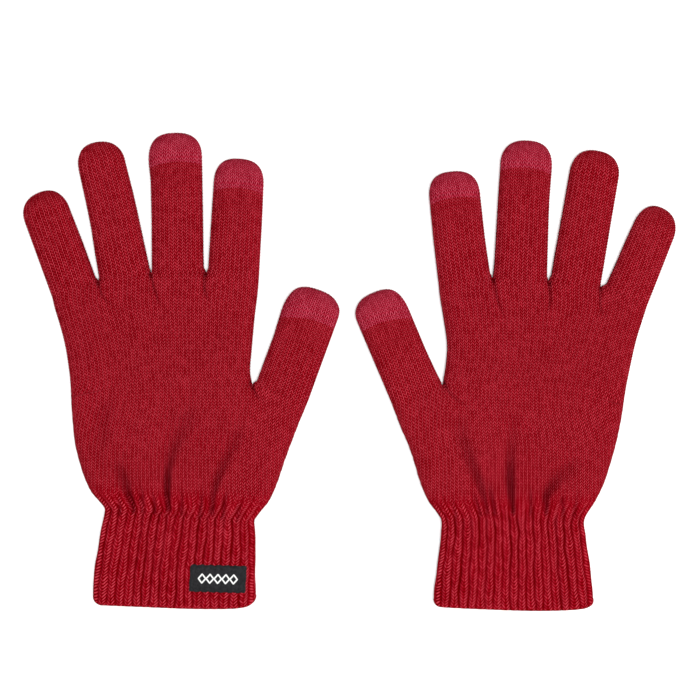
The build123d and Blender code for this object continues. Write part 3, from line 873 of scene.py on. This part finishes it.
def make_piece(glove, piece):
    """One Blender object of a glove's piece, with stitch coordinates and the whole glove's normals."""
    outer = glove.piece_faces[piece]
    inner = glove.inner_faces.get(piece, [])
    rims = glove.rim_faces.get(piece, [])
    ids = {}
    co, nr, uv_src = [], [], []

    def vid(kind, i):
        k = (kind, i)
        if k not in ids:
            ids[k] = len(co)
            if kind == "o":
                co.append(glove.v[i])
                nr.append(glove.nrm[i])
                uv_src.append((glove.wale[i], glove.vc[i], glove.rib_u[i],
                               glove.mix[i], 0.0, glove.crease_shade[i]))
            else:
                co.append(glove.inner_v[i])
                nr.append((0.0, 0.0, 0.0))
                uv_src.append((0.0, 0.0, 0.0, 0.0, 1.0, 0.0))
        return ids[k]

    polys = [[vid("o", i) for i in f] for f in outer]
    n_outer = len(polys)
    polys += [[vid("i", i) for i in f] for f in inner]
    n_in = len(polys)
    polys += [[vid(k, i) for k, i in f] for f in rims]
    co = np.array(co)
    m = glove.m
    co[:, 0] *= m
    co[:, 0] += SX
    co[:, 1] += SY
    nr = np.array(nr)
    nr[:, 0] *= m
    if m < 0:
        polys = [p[::-1] for p in polys]
    name = f"{glove.side}_{PIECE_NAMES.get(piece, piece)}"
    me = bpy.data.meshes.new(name)
    me.from_pydata((co * MM).tolist(), [], polys)
    me.update()
    src = np.array(uv_src)
    # inner vertices take stitch coordinates from their own place
    inn = src[:, 4] > 0.5
    src[inn, 0] = co[inn, 0] / 1.95
    src[inn, 1] = co[inn, 1] / (2 * ROW)
    src[inn, 2] = co[inn, 0] / 3.9
    loops = np.empty(len(me.loops), int)
    me.loops.foreach_get("vertex_index", loops)
    # the stitch coordinate runs to the right as seen from outside, on every face
    hand_of = np.ones(len(polys))
    for q, f in enumerate(outer):
        hand_of[q] = m if all(glove.face[i] > 0 for i in f) else -m
    turn = np.repeat(hand_of, [len(f) for f in polys])
    for label, cols in (("wale", (0, 1)), ("rib", (2, 1))):
        layer = me.uv_layers.new(name=label)
        uv = src[loops][:, cols].astype(np.float32)
        uv[:, 0] *= turn
        layer.data.foreach_set("uv", uv.ravel())
    attr = me.attributes.new("ribmix", "FLOAT", "POINT")
    attr.data.foreach_set("value", src[:, 3].astype(np.float32))
    attr = me.attributes.new("inside", "FLOAT", "POINT")
    attr.data.foreach_set("value", src[:, 4].astype(np.float32))
    attr = me.attributes.new("crease_shade", "FLOAT", "POINT")
    attr.data.foreach_set("value", src[:, 5].astype(np.float32))
    # courses past the start of the touch tip
    attr = me.attributes.new("tip", "FLOAT", "POINT")
    cut = glove.tip_row.get(piece.split("_")[0], 1e4)
    cols = src[~inn, 0]
    span = max((cols.max() - cols.min()) / 2, 1e-6)
    arch = 1.15 * (1 - ((src[:, 0] - (cols.max() + cols.min()) / 2) / span) ** 2)      # the line of the tip arches over
    attr.data.foreach_set("value", np.where(inn, -9.0, src[:, 1] - cut / 2 - arch + 0.4).astype(np.float32))
    me.polygons.foreach_set("use_smooth", [True] * len(me.polygons))
    # the outer faces take the whole glove's normals, so a cut does not show
    vn = np.zeros(len(me.vertices) * 3, np.float32)
    me.vertices.foreach_get("normal", vn)
    vn = vn.reshape(-1, 3)
    own = ~inn
    vn[own] = nr[own]
    me.normals_split_custom_set_from_vertices(vn.tolist())
    ob = bpy.data.objects.new(name, me)
    bpy.context.scene.collection.objects.link(ob)
    return ob


# ------------------------------------------------------------------ materials
def clear(mat):
    mat.use_nodes = True
    nt = mat.node_tree
    nt.nodes.clear()
    out = nt.nodes.new("ShaderNodeOutputMaterial")
    sh = nt.nodes.new("ShaderNodeBsdfPrincipled")
    nt.links.new(sh.outputs[0], out.inputs[0])
    return nt, sh


class Net:
    """Short hand for a tree of math nodes."""

    def __init__(self, nt):
        self.nt = nt

    def math(self, op, a, b=None, c=None, clamp=False):
        n = self.nt.nodes.new("ShaderNodeMath")
        n.operation = op
        n.use_clamp = clamp
        for i, v in enumerate((a, b, c)):
            if v is None:
                continue
            if isinstance(v, (int, float)):
                n.inputs[i].default_value = v
            else:
                self.nt.links.new(v, n.inputs[i])
        return n.outputs[0]

    def mix(self, fac, a, b, kind="RGBA", blend="MIX"):
        n = self.nt.nodes.new("ShaderNodeMix")
        n.data_type = kind
        n.blend_type = blend
        sock = {"RGBA": (0, 6, 7, 2), "FLOAT": (0, 2, 3, 0)}[kind]
        for s, v in zip(sock[:3], (fac, a, b)):
            if isinstance(v, (int, float)):
                n.inputs[s].default_value = v
            elif isinstance(v, tuple):
                n.inputs[s].default_value = v
            else:
                self.nt.links.new(v, n.inputs[s])
        return n.outputs[sock[3]]

    def noise(self, vec, scale, detail=2.0, rough=0.5, dims="3D"):
        n = self.nt.nodes.new("ShaderNodeTexNoise")
        n.noise_dimensions = dims
        n.inputs["Scale"].default_value = scale
        n.inputs["Detail"].default_value = detail
        n.inputs["Roughness"].default_value = rough
        if vec is not None:
            self.nt.links.new(vec, n.inputs["Vector"])
        return n.outputs[0]

    def ramp(self, fac, stops, interp="LINEAR"):
        n = self.nt.nodes.new("ShaderNodeValToRGB")
        n.color_ramp.interpolation = interp
        el = n.color_ramp.elements
        while len(el) > 1:
            el.remove(el[-1])
        el[0].position, el[0].color = stops[0][0], stops[0][1]
        for p, col in stops[1:]:
            e = el.new(p)
            e.color = col
        self.nt.links.new(fac, n.inputs[0])
        return n.outputs[0]


def srgb(r, g, b):
    out = []
    for v in (r, g, b):
        v /= 255.0
        out.append(v / 12.92 if v <= 0.04045 else ((v + 0.055) / 1.055) ** 2.4)
    return (*out, 1.0)


def stitch(net, uv, slope, legs, across):
    """Plain knit, each cell of the coordinates one V-shaped stitch.

    Gives its height, 0 to 1, how far its legs lag, and a number for each leg.
    legs: how strongly the right and the left leg stand out, in relief and in the colour drawn from the height; a
    lighter right leg is painted light from the right.
    across: makes the height over the width of a wale from a, 0 in its middle and 1 between wales.
    """
    nt = net.nt
    sep = nt.nodes.new("ShaderNodeSeparateXYZ")
    nt.links.new(uv, sep.inputs[0])
    u, v = sep.outputs[0], sep.outputs[1]
    fu = net.math("SUBTRACT", net.math("FRACT", u), 0.5)
    right = net.math("GREATER_THAN", fu, 0.0)
    a = net.math("MULTIPLY", net.math("ABSOLUTE", fu), 2.0)            # 0 centre, 1 between wales
    lag = net.math("MULTIPLY", a, slope)
    course = net.math("SUBTRACT", v, lag)
    along = net.math("SUBTRACT", net.math("MULTIPLY", net.math("FRACT", course), 2.0), 1.0)
    along = net.math("SUBTRACT", 1.0, net.math("POWER", net.math("ABSOLUTE", along), 1.3))
    # raises the right leg's height and so its colour: relief, and painted light from the right
    leg_relief_and_light = net.math("MULTIPLY_ADD", right, legs[0] - legs[1], legs[1])
    along = net.math("MULTIPLY_ADD", net.math("SUBTRACT", along, 0.56), leg_relief_and_light, 0.56)
    cell = nt.nodes.new("ShaderNodeCombineXYZ")
    nt.links.new(net.math("MULTIPLY_ADD", right, 0.5, net.math("FLOOR", u)), cell.inputs[0])
    nt.links.new(net.math("FLOOR", course), cell.inputs[1])
    tone_of = nt.nodes.new("ShaderNodeTexWhiteNoise")
    tone_of.noise_dimensions = "2D"
    nt.links.new(cell.outputs[0], tone_of.inputs["Vector"])
    return net.math("MULTIPLY", along, across(net, a)), lag, tone_of.outputs[0]


def across_plain(net, a):
    """Low between the wales and between the two legs of a stitch, which the colour ramp turns into painted shade."""
    c = net.math("COSINE", net.math("MULTIPLY", a, 2 * math.pi))
    return net.math("MULTIPLY_ADD", c, -0.26, 0.84)


def across_rib(net, a, deep):
    """A thin low line down the middle of a rib, and the groove at its sides, both painted darker by the colour ramp:
    painted shade.
    """
    q = net.math("DIVIDE", a, 0.16)
    mid = net.math("MULTIPLY", net.math("EXPONENT", net.math("MULTIPLY", net.math("MULTIPLY", q, q), -1.0)), 0.42)
    g = nt_step(net, a, 0.62, 0.88)
    both = net.math("MULTIPLY", net.math("SUBTRACT", 1.0, mid), net.math("SUBTRACT", 1.0, net.math("MULTIPLY", g, deep)))
    return net.math("MULTIPLY", both, 1.05)


def nt_step(net, x, lo, hi):
    n = net.nt.nodes.new("ShaderNodeMapRange")
    n.interpolation_type = "SMOOTHSTEP"
    n.inputs["From Min"].default_value = lo
    n.inputs["From Max"].default_value = hi
    net.nt.links.new(x, n.inputs["Value"])
    return n.outputs[0]


LIGHT = 1.36            # what the lights make of a white sheet lying flat


def tone(r, g, b):
    return tuple(v / LIGHT for v in srgb(r, g, b)[:3]) + (1.0,)


def knit_material(name, stops, tip_stops=None):
    mat = bpy.data.materials.new(name)
    nt, sh = clear(mat)
    net = Net(nt)
    uvw = nt.nodes.new("ShaderNodeUVMap"); uvw.uv_map = "wale"
    uvr = nt.nodes.new("ShaderNodeUVMap"); uvr.uv_map = "rib"

    def attribute(n):
        node = nt.nodes.new("ShaderNodeAttribute")
        node.attribute_name = n
        return node.outputs["Fac"]

    ribmix, inside, crease_shade = attribute("ribmix"), attribute("inside"), attribute("crease_shade")
    geo = nt.nodes.new("ShaderNodeTexCoord")

    def wander(uv, amount, scale=0.35):
        """A small wander of the stitches, so that the rows are not ruled."""
        nz = nt.nodes.new("ShaderNodeTexNoise")
        nz.noise_dimensions = "2D"
        nz.inputs["Scale"].default_value = scale
        nz.inputs["Detail"].default_value = 2.0
        nt.links.new(uv, nz.inputs["Vector"])
        sub = nt.nodes.new("ShaderNodeVectorMath"); sub.operation = "SUBTRACT"
        nt.links.new(nz.outputs[1], sub.inputs[0]); sub.inputs[1].default_value = (0.5, 0.5, 0.5)
        sc = nt.nodes.new("ShaderNodeVectorMath"); sc.operation = "SCALE"
        nt.links.new(sub.outputs[0], sc.inputs[0]); sc.inputs["Scale"].default_value = amount
        ad = nt.nodes.new("ShaderNodeVectorMath"); ad.operation = "ADD"
        nt.links.new(uv, ad.inputs[0]); nt.links.new(sc.outputs[0], ad.inputs[1])
        return ad.outputs[0]

    uv1 = wander(uvw.outputs[0], 0.3)
    uv2 = wander(uvr.outputs[0], 0.2, 0.5)
    # the right leg of a stitch stands out more, in relief and in colour: its lighter colour is painted light falling
    # from the right
    if tip_stops:
        h1, lag1, leg1 = stitch(net, uv1, 1.25, (1.5, 1.1), across_plain)
    else:
        h1, lag1, leg1 = stitch(net, uv1, 1.06, (1.95, 0.85), across_plain)
    # some grooves between ribs lie open and others close up: deeper in relief and painted darker, a painted shade
    long_uv = nt.nodes.new("ShaderNodeVectorMath"); long_uv.operation = "MULTIPLY"
    nt.links.new(uvr.outputs[0], long_uv.inputs[0]); long_uv.inputs[1].default_value = (0.9, 0.06, 1.0)
    run_on = nt.nodes.new("ShaderNodeTexNoise"); run_on.noise_dimensions = "2D"
    run_on.inputs["Scale"].default_value = 1.0; run_on.inputs["Detail"].default_value = 1.0
    nt.links.new(long_uv.outputs[0], run_on.inputs["Vector"])
    deep = net.math("MULTIPLY_ADD", run_on.outputs[0], 0.9, 0.005, clamp=True)
    # rib stitches: right legs painted lighter (painted light from the right), grooves painted darker (painted shade)
    h2, lag2, leg2 = stitch(net, uv2, 1.38, (1.2, 0.65), lambda n, a: across_rib(n, a, deep))
    height = net.mix(ribmix, h1, h2, "FLOAT")
    # each leg has its own small difference in tone
    leg = net.mix(ribmix, leg1, leg2, "FLOAT")
    fibre = net.noise(geo.outputs["Object"], 2400.0, 3.0, 0.7)
    cloud = net.noise(geo.outputs["Object"], 45.0, 3.0, 0.6)
    patch = net.noise(geo.outputs["Object"], 330.0, 2.0, 0.6)
    dev = net.math("ADD", net.math("MULTIPLY", net.math("SUBTRACT", leg, 0.5), 0.27),
                   net.math("MULTIPLY", net.math("SUBTRACT", fibre, 0.5), 0.55))
    dev = net.math("ADD", dev, net.math("MULTIPLY", net.math("SUBTRACT", patch, 0.5), 0.17))
    dev = net.math("ADD", dev, net.math("MULTIPLY", net.math("SUBTRACT", cloud, 0.5), 0.14))
    # the colour follows the stitch height: low parts between legs and wales are painted shade, the tops of the legs a
    # painted highlight; dev adds random tone
    fac = net.math("ADD", height, dev, clamp=True)
    col = net.ramp(fac, stops)
    if tip_stops:
        tip = attribute("tip")
        past = net.math("GREATER_THAN", net.math("SUBTRACT", tip, net.math("MULTIPLY", lag1, 0.3)), -0.2)
        col = net.mix(past, col, net.ramp(fac, tip_stops))
    # painted shade: the colour is darkened deep in folds and rib grooves, and on the inner skin of the glove
    shade = net.mix(crease_shade, (1, 1, 1, 1), (0.50, 0.36, 0.42, 1))
    col = net.mix(1.0, col, shade, blend="MULTIPLY")
    col = net.mix(inside, col, net.mix(1.0, col, (0.8, 0.75, 0.78, 1), blend="MULTIPLY"))
    sh.inputs["Base Color"].default_value = stops[1][1]
    nt.links.new(col, sh.inputs["Base Color"])
    sh.inputs["Roughness"].default_value = 0.92
    sh.inputs["Specular IOR Level"].default_value = 0.01
    bump = nt.nodes.new("ShaderNodeBump")
    bump.inputs["Strength"].default_value = 0.6
    bump.inputs["Distance"].default_value = 0.0004
    hh = net.math("ADD", height, net.math("MULTIPLY", fibre, 0.2))
    nt.links.new(hh, bump.inputs["Height"])
    nt.links.new(bump.outputs[0], sh.inputs["Normal"])
    return mat


# tones from the lowest to the highest part of a stitch: the dark stops are painted shade in the gaps, the light stops a
# painted highlight on the legs; the pink set is the touch tips' own pinker yarn
RED = [(0.0, tone(104, 0, 0)), (0.35, tone(131, 0, 9)), (0.66, tone(164, 10, 31)), (1.0, tone(209, 66, 81))]
PINK = [(0.0, tone(118, 0, 12)), (0.35, tone(150, 8, 34)), (0.66, tone(185, 38, 62)), (1.0, tone(222, 90, 112))]
knit_red = knit_material("knit_red", RED)
knit_tip = knit_material("knit_touch", RED, PINK)


def label_material():
    mat = bpy.data.materials.new("label_woven")
    nt, sh = clear(mat)
    net = Net(nt)
    geo = nt.nodes.new("ShaderNodeTexCoord")
    sep = nt.nodes.new("ShaderNodeSeparateXYZ")
    nt.links.new(geo.outputs["Object"], sep.inputs[0])
    # satin weave: weft lines 0.22 mm, warp lines 0.3 mm, offset row by row
    weft = net.math("SINE", net.math("MULTIPLY", sep.outputs[1], 2 * math.pi / 0.00034))
    warp = net.math("SINE", net.math("ADD", net.math("MULTIPLY", sep.outputs[0], 2 * math.pi / 0.00042),
                                     net.math("MULTIPLY", sep.outputs[1], 2 * math.pi / 0.00136)))
    weave = net.math("MULTIPLY", weft, warp)
    nz = net.noise(geo.outputs["Object"], 900.0, 3.0, 0.6)
    f = net.math("ADD", net.math("MULTIPLY", weave, 0.3), nz, clamp=True)
    col = net.ramp(f, [(0.0, tone(16, 16, 18)), (0.5, tone(38, 38, 40)), (1.0, tone(62, 62, 65))])
    nt.links.new(col, sh.inputs["Base Color"])
    sh.inputs["Roughness"].default_value = 0.7
    sh.inputs["Specular IOR Level"].default_value = 0.06
    bump = nt.nodes.new("ShaderNodeBump")
    bump.inputs["Strength"].default_value = 0.5
    bump.inputs["Distance"].default_value = 0.00012
    nt.links.new(f, bump.inputs["Height"])
    nt.links.new(bump.outputs[0], sh.inputs["Normal"])
    return mat


def thread_material(name, a, b):
    mat = bpy.data.materials.new(name)
    nt, sh = clear(mat)
    net = Net(nt)
    geo = nt.nodes.new("ShaderNodeTexCoord")
    wave = nt.nodes.new("ShaderNodeTexWave")
    wave.wave_type = "BANDS"
    wave.bands_direction = "DIAGONAL"
    wave.inputs["Scale"].default_value = 900.0
    wave.inputs["Distortion"].default_value = 1.5
    nt.links.new(geo.outputs["Object"], wave.inputs["Vector"])
    col = net.ramp(wave.outputs["Fac"], [(0.0, a), (1.0, b)])
    nt.links.new(col, sh.inputs["Base Color"])
    sh.inputs["Roughness"].default_value = 0.6
    sh.inputs["Specular IOR Level"].default_value = 0.08
    bump = nt.nodes.new("ShaderNodeBump")
    bump.inputs["Strength"].default_value = 0.6
    bump.inputs["Distance"].default_value = 0.0001
    nt.links.new(wave.outputs["Fac"], bump.inputs["Height"])
    nt.links.new(bump.outputs[0], sh.inputs["Normal"])
    return mat


# ------------------------------------------------------------------ build the gloves
pieces = {}
gloves = {}
for side in ("left", "right"):
    g = Glove(side)
    g.finish()
    g.mix = smooth((15.0 - g.above) / 13.0)
    gloves[side] = g
    for piece in g.piece_faces:
        ob = make_piece(g, piece)
        touch = piece.split("_")[0] in g.tip_row and not piece.endswith("lower")
        ob.data.materials.append(knit_tip if touch else knit_red)
        pieces[f"{side}_{piece}"] = ob
    print(side, "verts", len(g.v), "outer faces", len(g.faces))

for side in ("left", "right"):
    hand = f"{side}_hand"
    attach(pieces[f"{side}_hand_knit"], hand)
    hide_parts(f"{side}_hand_shell")
    # the cuff's knit crosses the wrist line
    j = joint(f"{side}_cuff_turn_up")
    p = Vector(j["pos_m"])
    cuff = pieces[f"{side}_cuff_rib"]
    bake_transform(cuff)
    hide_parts(f"{side}_cuff_rib")
    welt = pieces[f"{side}_cuff_welt"]
    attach(welt, f"{side}_cuff")
    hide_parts(f"{side}_cuff_welt")
    for name in NAMES:
        lower, upper = f"{side}_{name}_lower", f"{side}_{name}_upper"
        for ob, a, b, jn, node in ((pieces[lower], hand, lower, "knuckle", "base"), (pieces[upper], lower, upper, "middle_bend", "end")):
            j = joint(f"{side}_{name}_{jn}")
            p = Vector(j["pos_m"])
            ax = Vector(j["axis"])
            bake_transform(ob)
            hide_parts(f"{side}_{name}_{node}")
            if jn == "middle_bend" and f"{side}_{name}_touch_knit" in pieces:
                tip = pieces[f"{side}_{name}_touch_knit"]
                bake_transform(tip)
                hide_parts(f"{side}_{name}_touch_tip")

# ------------------------------------------------------------------ elastic threads, label
def tube(name, paths, radii, sides=6, closed=True, squash=1.0):
    """One mesh of round threads along the given paths (mm)."""
    co, polys = [], []
    for path, r in zip(paths, radii):
        p = np.array(path, float)
        n = len(p)
        if closed:
            t = np.roll(p, -1, 0) - np.roll(p, 1, 0)
        else:
            t = np.gradient(p, axis=0)
        t /= np.linalg.norm(t, axis=1, keepdims=True)
        up = np.array([0.0, 0.0, 1.0])
        s1 = np.cross(t, up)
        bad = np.linalg.norm(s1, axis=1) < 0.2
        s1[bad] = np.cross(t[bad], [0.0, 1.0, 0.0])
        s1 /= np.linalg.norm(s1, axis=1, keepdims=True)
        s2 = np.cross(s1, t)
        rr = np.full(n, r) if np.isscalar(r) else np.array(r, float)
        base = len(co)
        for k in range(n):
            for a in range(sides):
                ang = 2 * math.pi * a / sides
                co.append(p[k] + rr[k] * (math.cos(ang) * s1[k] + squash * math.sin(ang) * s2[k]))
        for k in range(n if closed else n - 1):
            for a in range(sides):
                b = (a + 1) % sides
                k2 = (k + 1) % n
                polys.append((base + k * sides + a, base + k * sides + b, base + k2 * sides + b, base + k2 * sides + a))
        if not closed:
            polys.append(tuple(base + a for a in range(sides))[::-1])
            polys.append(tuple(base + (n - 1) * sides + a for a in range(sides)))
    me = bpy.data.meshes.new(name)
    me.from_pydata((np.array(co) * MM).tolist(), [], polys)
    me.update()
    # the winding of the sides decides which way the thread faces
    import bmesh
    bm = bmesh.new()
    bm.from_mesh(me)
    bmesh.ops.recalc_face_normals(bm, faces=bm.faces)
    bm.to_mesh(me)
    bm.free()
    me.polygons.foreach_set("use_smooth", [True] * len(me.polygons))
    ob = bpy.data.objects.new(name, me)
    bpy.context.scene.collection.objects.link(ob)
    return ob


elastic_mat = thread_material("elastic_thread", srgb(150, 60, 70), srgb(190, 110, 115))
for side in ("left", "right"):
    g = gloves[side]
    lo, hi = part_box(f"{side}_cuff_elastic")
    paths = []
    wrist = 0.5 * sum(g.sides["wrist"])
    for q in range(5):
        y = (lo.y + (hi.y - lo.y) * q / 4.0) / MM - SY
        j = min(range(-g.cuff_rows + WELT_ROWS + 1, -8), key=lambda r: abs(np.mean([g.base[i][1] for i in g.rows[("hand", r, 1)]]) - y))
        loop = list(g.rows[("hand", j, 1)][::3])
        if loop[-1] != g.rows[("hand", j, 1)][-1]:
            loop.append(g.rows[("hand", j, 1)][-1])
        loop += list(g.rows[("hand", j, -1)][::-1][1:-1][::3])
        p = np.array([g.base[i] - g.base_nrm[i] * 1.35 for i in loop])
        p[:, 0] = p[:, 0] * g.m + SX
        p[:, 1] += SY
        paths.append(p)
    ob = tube(f"{side}_elastic_threads", paths, [0.15] * 5)
    ob.data.materials.append(elastic_mat)
    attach(ob, f"{side}_cuff")
    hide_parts(f"{side}_cuff_elastic")

# the label lies over the ribs: its height follows the tops of the ribs under it
lo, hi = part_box("left_cuff_label")
LX, LY = (hi.x - lo.x) / MM, (hi.y - lo.y) / MM
CX, CY = (hi.x + lo.x) / 2 / MM, (hi.y + lo.y) / 2 / MM
g = gloves["left"]
wanted = g.piece_faces["cuff_rib"] + g.piece_faces["cuff_welt"]
under = BVHTree.FromPolygons([Vector((p[0] + SX, p[1] + SY, p[2])) for p in g.v], [f for f in wanted if g.face[f[0]] >= 0 and g.v[f[0]][2] > 3.0])
NX, NY = 84, 40


def askew(x, y):
    """The label is sewn on a little out of square."""
    return x + 0.062 * (y - CY), y - 0.028 * (x - CX)


def ground(x, y):
    hit = under.ray_cast(Vector((x, y, 30.0)), Vector((0, 0, -1)))
    return hit[0].z if hit[0] is not None else 7.0


# the bed reaches a little past the label on every side
bed_x = np.linspace(CX - LX / 2 - 1.4, CX + LX / 2 + 1.4, 91)
bed_y = np.linspace(CY - LY / 2 - 1.2, CY + LY / 2 + 1.2, 47)
gx = np.linspace(CX - LX / 2, CX + LX / 2, NX + 1)
gy = np.linspace(CY - LY / 2, CY + LY / 2, NY + 1)
ground_z = np.array([[ground(x, y) for x in bed_x] for y in bed_y])


def grow(a, n):
    for _ in range(n):
        b = np.pad(a, 1, mode="edge")
        a = np.max([b[i:i + a.shape[0], k:k + a.shape[1]] for i in range(3) for k in range(3)], axis=0)
    return a


def soften(a, n):
    for _ in range(n):
        b = np.pad(a, 1, mode="edge")
        a = np.mean([b[i:i + a.shape[0], k:k + a.shape[1]] for i in range(3) for k in range(3)], axis=0)
    return a


bed = np.maximum(soften(grow(ground_z, 3), 6) - 0.08, ground_z + 0.04)
LABEL_T = 0.5


def label_z(x, y):
    """Height of the label's bed under a point."""
    fx = np.clip((x - bed_x[0]) / (bed_x[-1] - bed_x[0]) * (len(bed_x) - 1), 0, len(bed_x) - 1 - 1e-6)
    fy = np.clip((y - bed_y[0]) / (bed_y[-1] - bed_y[0]) * (len(bed_y) - 1), 0, len(bed_y) - 1 - 1e-6)
    i, k = int(fy), int(fx)
    a, b = fy - i, fx - k
    return (bed[i, k] * (1 - a) * (1 - b) + bed[i + 1, k] * a * (1 - b) + bed[i, k + 1] * (1 - a) * b + bed[i + 1, k + 1] * a * b)


co, polys = [], []
corner = 0.8
for top in (1, 0):
    for i, y in enumerate(gy):
        for k, x in enumerate(gx):
            ex = min(x - gx[0], gx[-1] - x)
            ey = min(y - gy[0], gy[-1] - y)
            px, py = x, y
            if ex < corner and ey < corner:          # rounded corners
                d = math.hypot(corner - ex, corner - ey)
                if d > corner:
                    px += (corner - ex) * (1 - corner / d) * (1 if x < CX else -1)
                    py += (corner - ey) * (1 - corner / d) * (1 if y < CY else -1)
            # a cut edge is never quite straight
            near = max(0.0, 1 - min(ex, ey) / 2.0)
            px += near * 0.10 * math.sin(y * 1.1 + 0.6)
            py += near * (0.16 * math.sin(x * 1.62 + 1.0) + 0.05 * math.sin(x * 3.7))
            e = min(ex, ey)
            edge = 1 - math.sqrt(max(1 - (1 - min(e / 0.45, 1)) ** 2, 0))
            fold = 0.14 * smooth(np.array((2.8 - ex) / 0.8)) if ex < 2.8 else 0.0     # ends folded under
            px, py = askew(px, py)
            z = label_z(px, py)
            if top:
                co.append((px, py, z + 0.12 + (LABEL_T - 0.12) * (1 - 0.85 * edge) + float(fold)))
            else:
                co.append((px, py, z))
W1 = NX + 1
n1 = W1 * (NY + 1)
for i in range(NY):
    for k in range(NX):
        a = i * W1 + k
        polys.append((a, a + 1, a + 1 + W1, a + W1))
        polys.append((n1 + a, n1 + a + W1, n1 + a + 1 + W1, n1 + a + 1))
ring = [k for k in range(W1)] + [i * W1 + NX for i in range(1, NY + 1)] + [NY * W1 + k for k in range(NX - 1, -1, -1)] + [i * W1 for i in range(NY - 1, 0, -1)]
for a, b in zip(ring, ring[1:] + ring[:1]):
    polys.append((a, n1 + a, n1 + b, b))
me = bpy.data.meshes.new("left_label_patch")
me.from_pydata([(x * MM, y * MM, z * MM) for x, y, z in co], [], polys)
me.update()
me.polygons.foreach_set("use_smooth", [True] * len(me.polygons))
label = bpy.data.objects.new("left_label_patch", me)
bpy.context.scene.collection.objects.link(label)
me.materials.append(label_material())
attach(label, "left_cuff")
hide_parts("left_cuff_label")


def on_label(x, y, up):
    x, y = askew(x, y)
    return (x, y, label_z(x, y) + LABEL_T + up)


# a chain of diamonds in white thread, and dark stitches round the border
paths, radii = [], []
span, tall, count = LX * 0.70, 4.2, 5
for q in range(count):
    mx = CX + span * ((q + 0.5) / count - 0.5)
    hw = span / count / 2 - 0.15
    pts = []
    for (ax, ay), (bx, by) in zip([(0, 1), (1, 0), (0, -1), (-1, 0)], [(1, 0), (0, -1), (-1, 0), (0, 1)]):
        for t in np.linspace(0, 1, 9)[:-1]:
            pts.append(on_label(mx + hw * (ax + (bx - ax) * t), CY + tall / 2 * (ay + (by - ay) * t), 0.10))
    paths.append(pts)
    radii.append(0.36)
motif = tube("left_label_motif", paths, radii, 8, True, 0.5)
motif.data.materials.append(thread_material("motif_thread", srgb(214, 214, 212), srgb(246, 246, 244)))
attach(motif, "left_cuff")
paths, radii = [], []


def run(ax, ay, bx, by):
    length = math.hypot(bx - ax, by - ay)
    n = int(length // 2.3)
    for q in range(n):
        t0 = (q + 0.2) / n
        t1 = (q + 0.8) / n
        pts, rr = [], []
        for t in np.linspace(t0, t1, 8):
            w = (t - t0) / (t1 - t0)
            pts.append(on_label(ax + (bx - ax) * t, ay + (by - ay) * t, 0.16 * math.sin(math.pi * w) ** 0.6 - 0.1))
            rr.append(0.10 + 0.06 * math.sin(math.pi * w))
        paths.append(pts)
        radii.append(rr)


m0 = 0.85
x0, x1, y0, y1 = gx[0] + m0, gx[-1] - m0, gy[0] + m0, gy[-1] - m0
run(x0, y0, x1, y0)
run(x1, y0, x1, y1)
run(x1, y1, x0, y1)
run(x0, y1, x0, y0)
sewn = tube("left_label_sewing", paths, radii, 6, False)
sewn.data.materials.append(thread_material("sewing_thread", tone(16, 16, 18), tone(40, 40, 44)))
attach(sewn, "left_cuff")
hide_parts("left_label_stitching")

# ------------------------------------------------------------------ floor, light, camera
floor_me = bpy.data.meshes.new("floor")
floor_me.from_pydata([(-3, -3, 0), (3, -3, 0), (3, 3, 0), (-3, 3, 0)], [], [(0, 1, 2, 3)])
floor = bpy.data.objects.new("floor", floor_me)
bpy.context.scene.collection.objects.link(floor)
fm = bpy.data.materials.new("floor_paper")
nt, sh = clear(fm)
net = Net(nt)
geo = nt.nodes.new("ShaderNodeTexCoord")
col = net.ramp(net.noise(geo.outputs["Object"], 3.0, 2.0), [(0.0, (0.93, 0.93, 0.93, 1)), (1.0, (0.95, 0.95, 0.95, 1))])
nt.links.new(col, sh.inputs["Base Color"])
sh.inputs["Roughness"].default_value = 0.95
sh.inputs["Specular IOR Level"].default_value = 0.1
floor_me.materials.append(fm)

world = bpy.data.worlds.new("studio")
bpy.context.scene.world = world
world.use_nodes = True
world.node_tree.nodes["Background"].inputs[0].default_value = (1, 1, 1, 1)
world.node_tree.nodes["Background"].inputs[1].default_value = 0.42


def area(name, loc, size, power, target=(0, 0, 0)):
    li = bpy.data.lights.new(name, "AREA")
    li.shape = "SQUARE"
    li.size = size
    li.energy = power
    ob = bpy.data.objects.new(name, li)
    ob.location = loc
    ob.rotation_euler = (Vector(target) - Vector(loc)).to_track_quat("-Z", "Y").to_euler()
    bpy.context.scene.collection.objects.link(ob)
    return ob


area("top", (0.12, -0.05, 1.9), 0.6, 36)
area("side", (1.6, -0.6, 0.9), 0.9, 12)

scene = bpy.context.scene
scene.view_settings.view_transform = "Standard"
scene.view_settings.look = "None"
scene.view_settings.exposure = 0.0
cam = bpy.data.cameras.new("camera")
cam.lens = 100.0
cam.sensor_width = 36.0
FRAME_W = 0.329
dist = FRAME_W * cam.lens / cam.sensor_width
cam_ob = bpy.data.objects.new("camera", cam)
cam_ob.location = (0.000235 + SX * MM, 0.00987 + SY * MM, dist + 0.004)
cam_ob.rotation_euler = (0, 0, 0)
cam.clip_start = 0.01
scene.collection.objects.link(cam_ob)
scene.camera = cam_ob
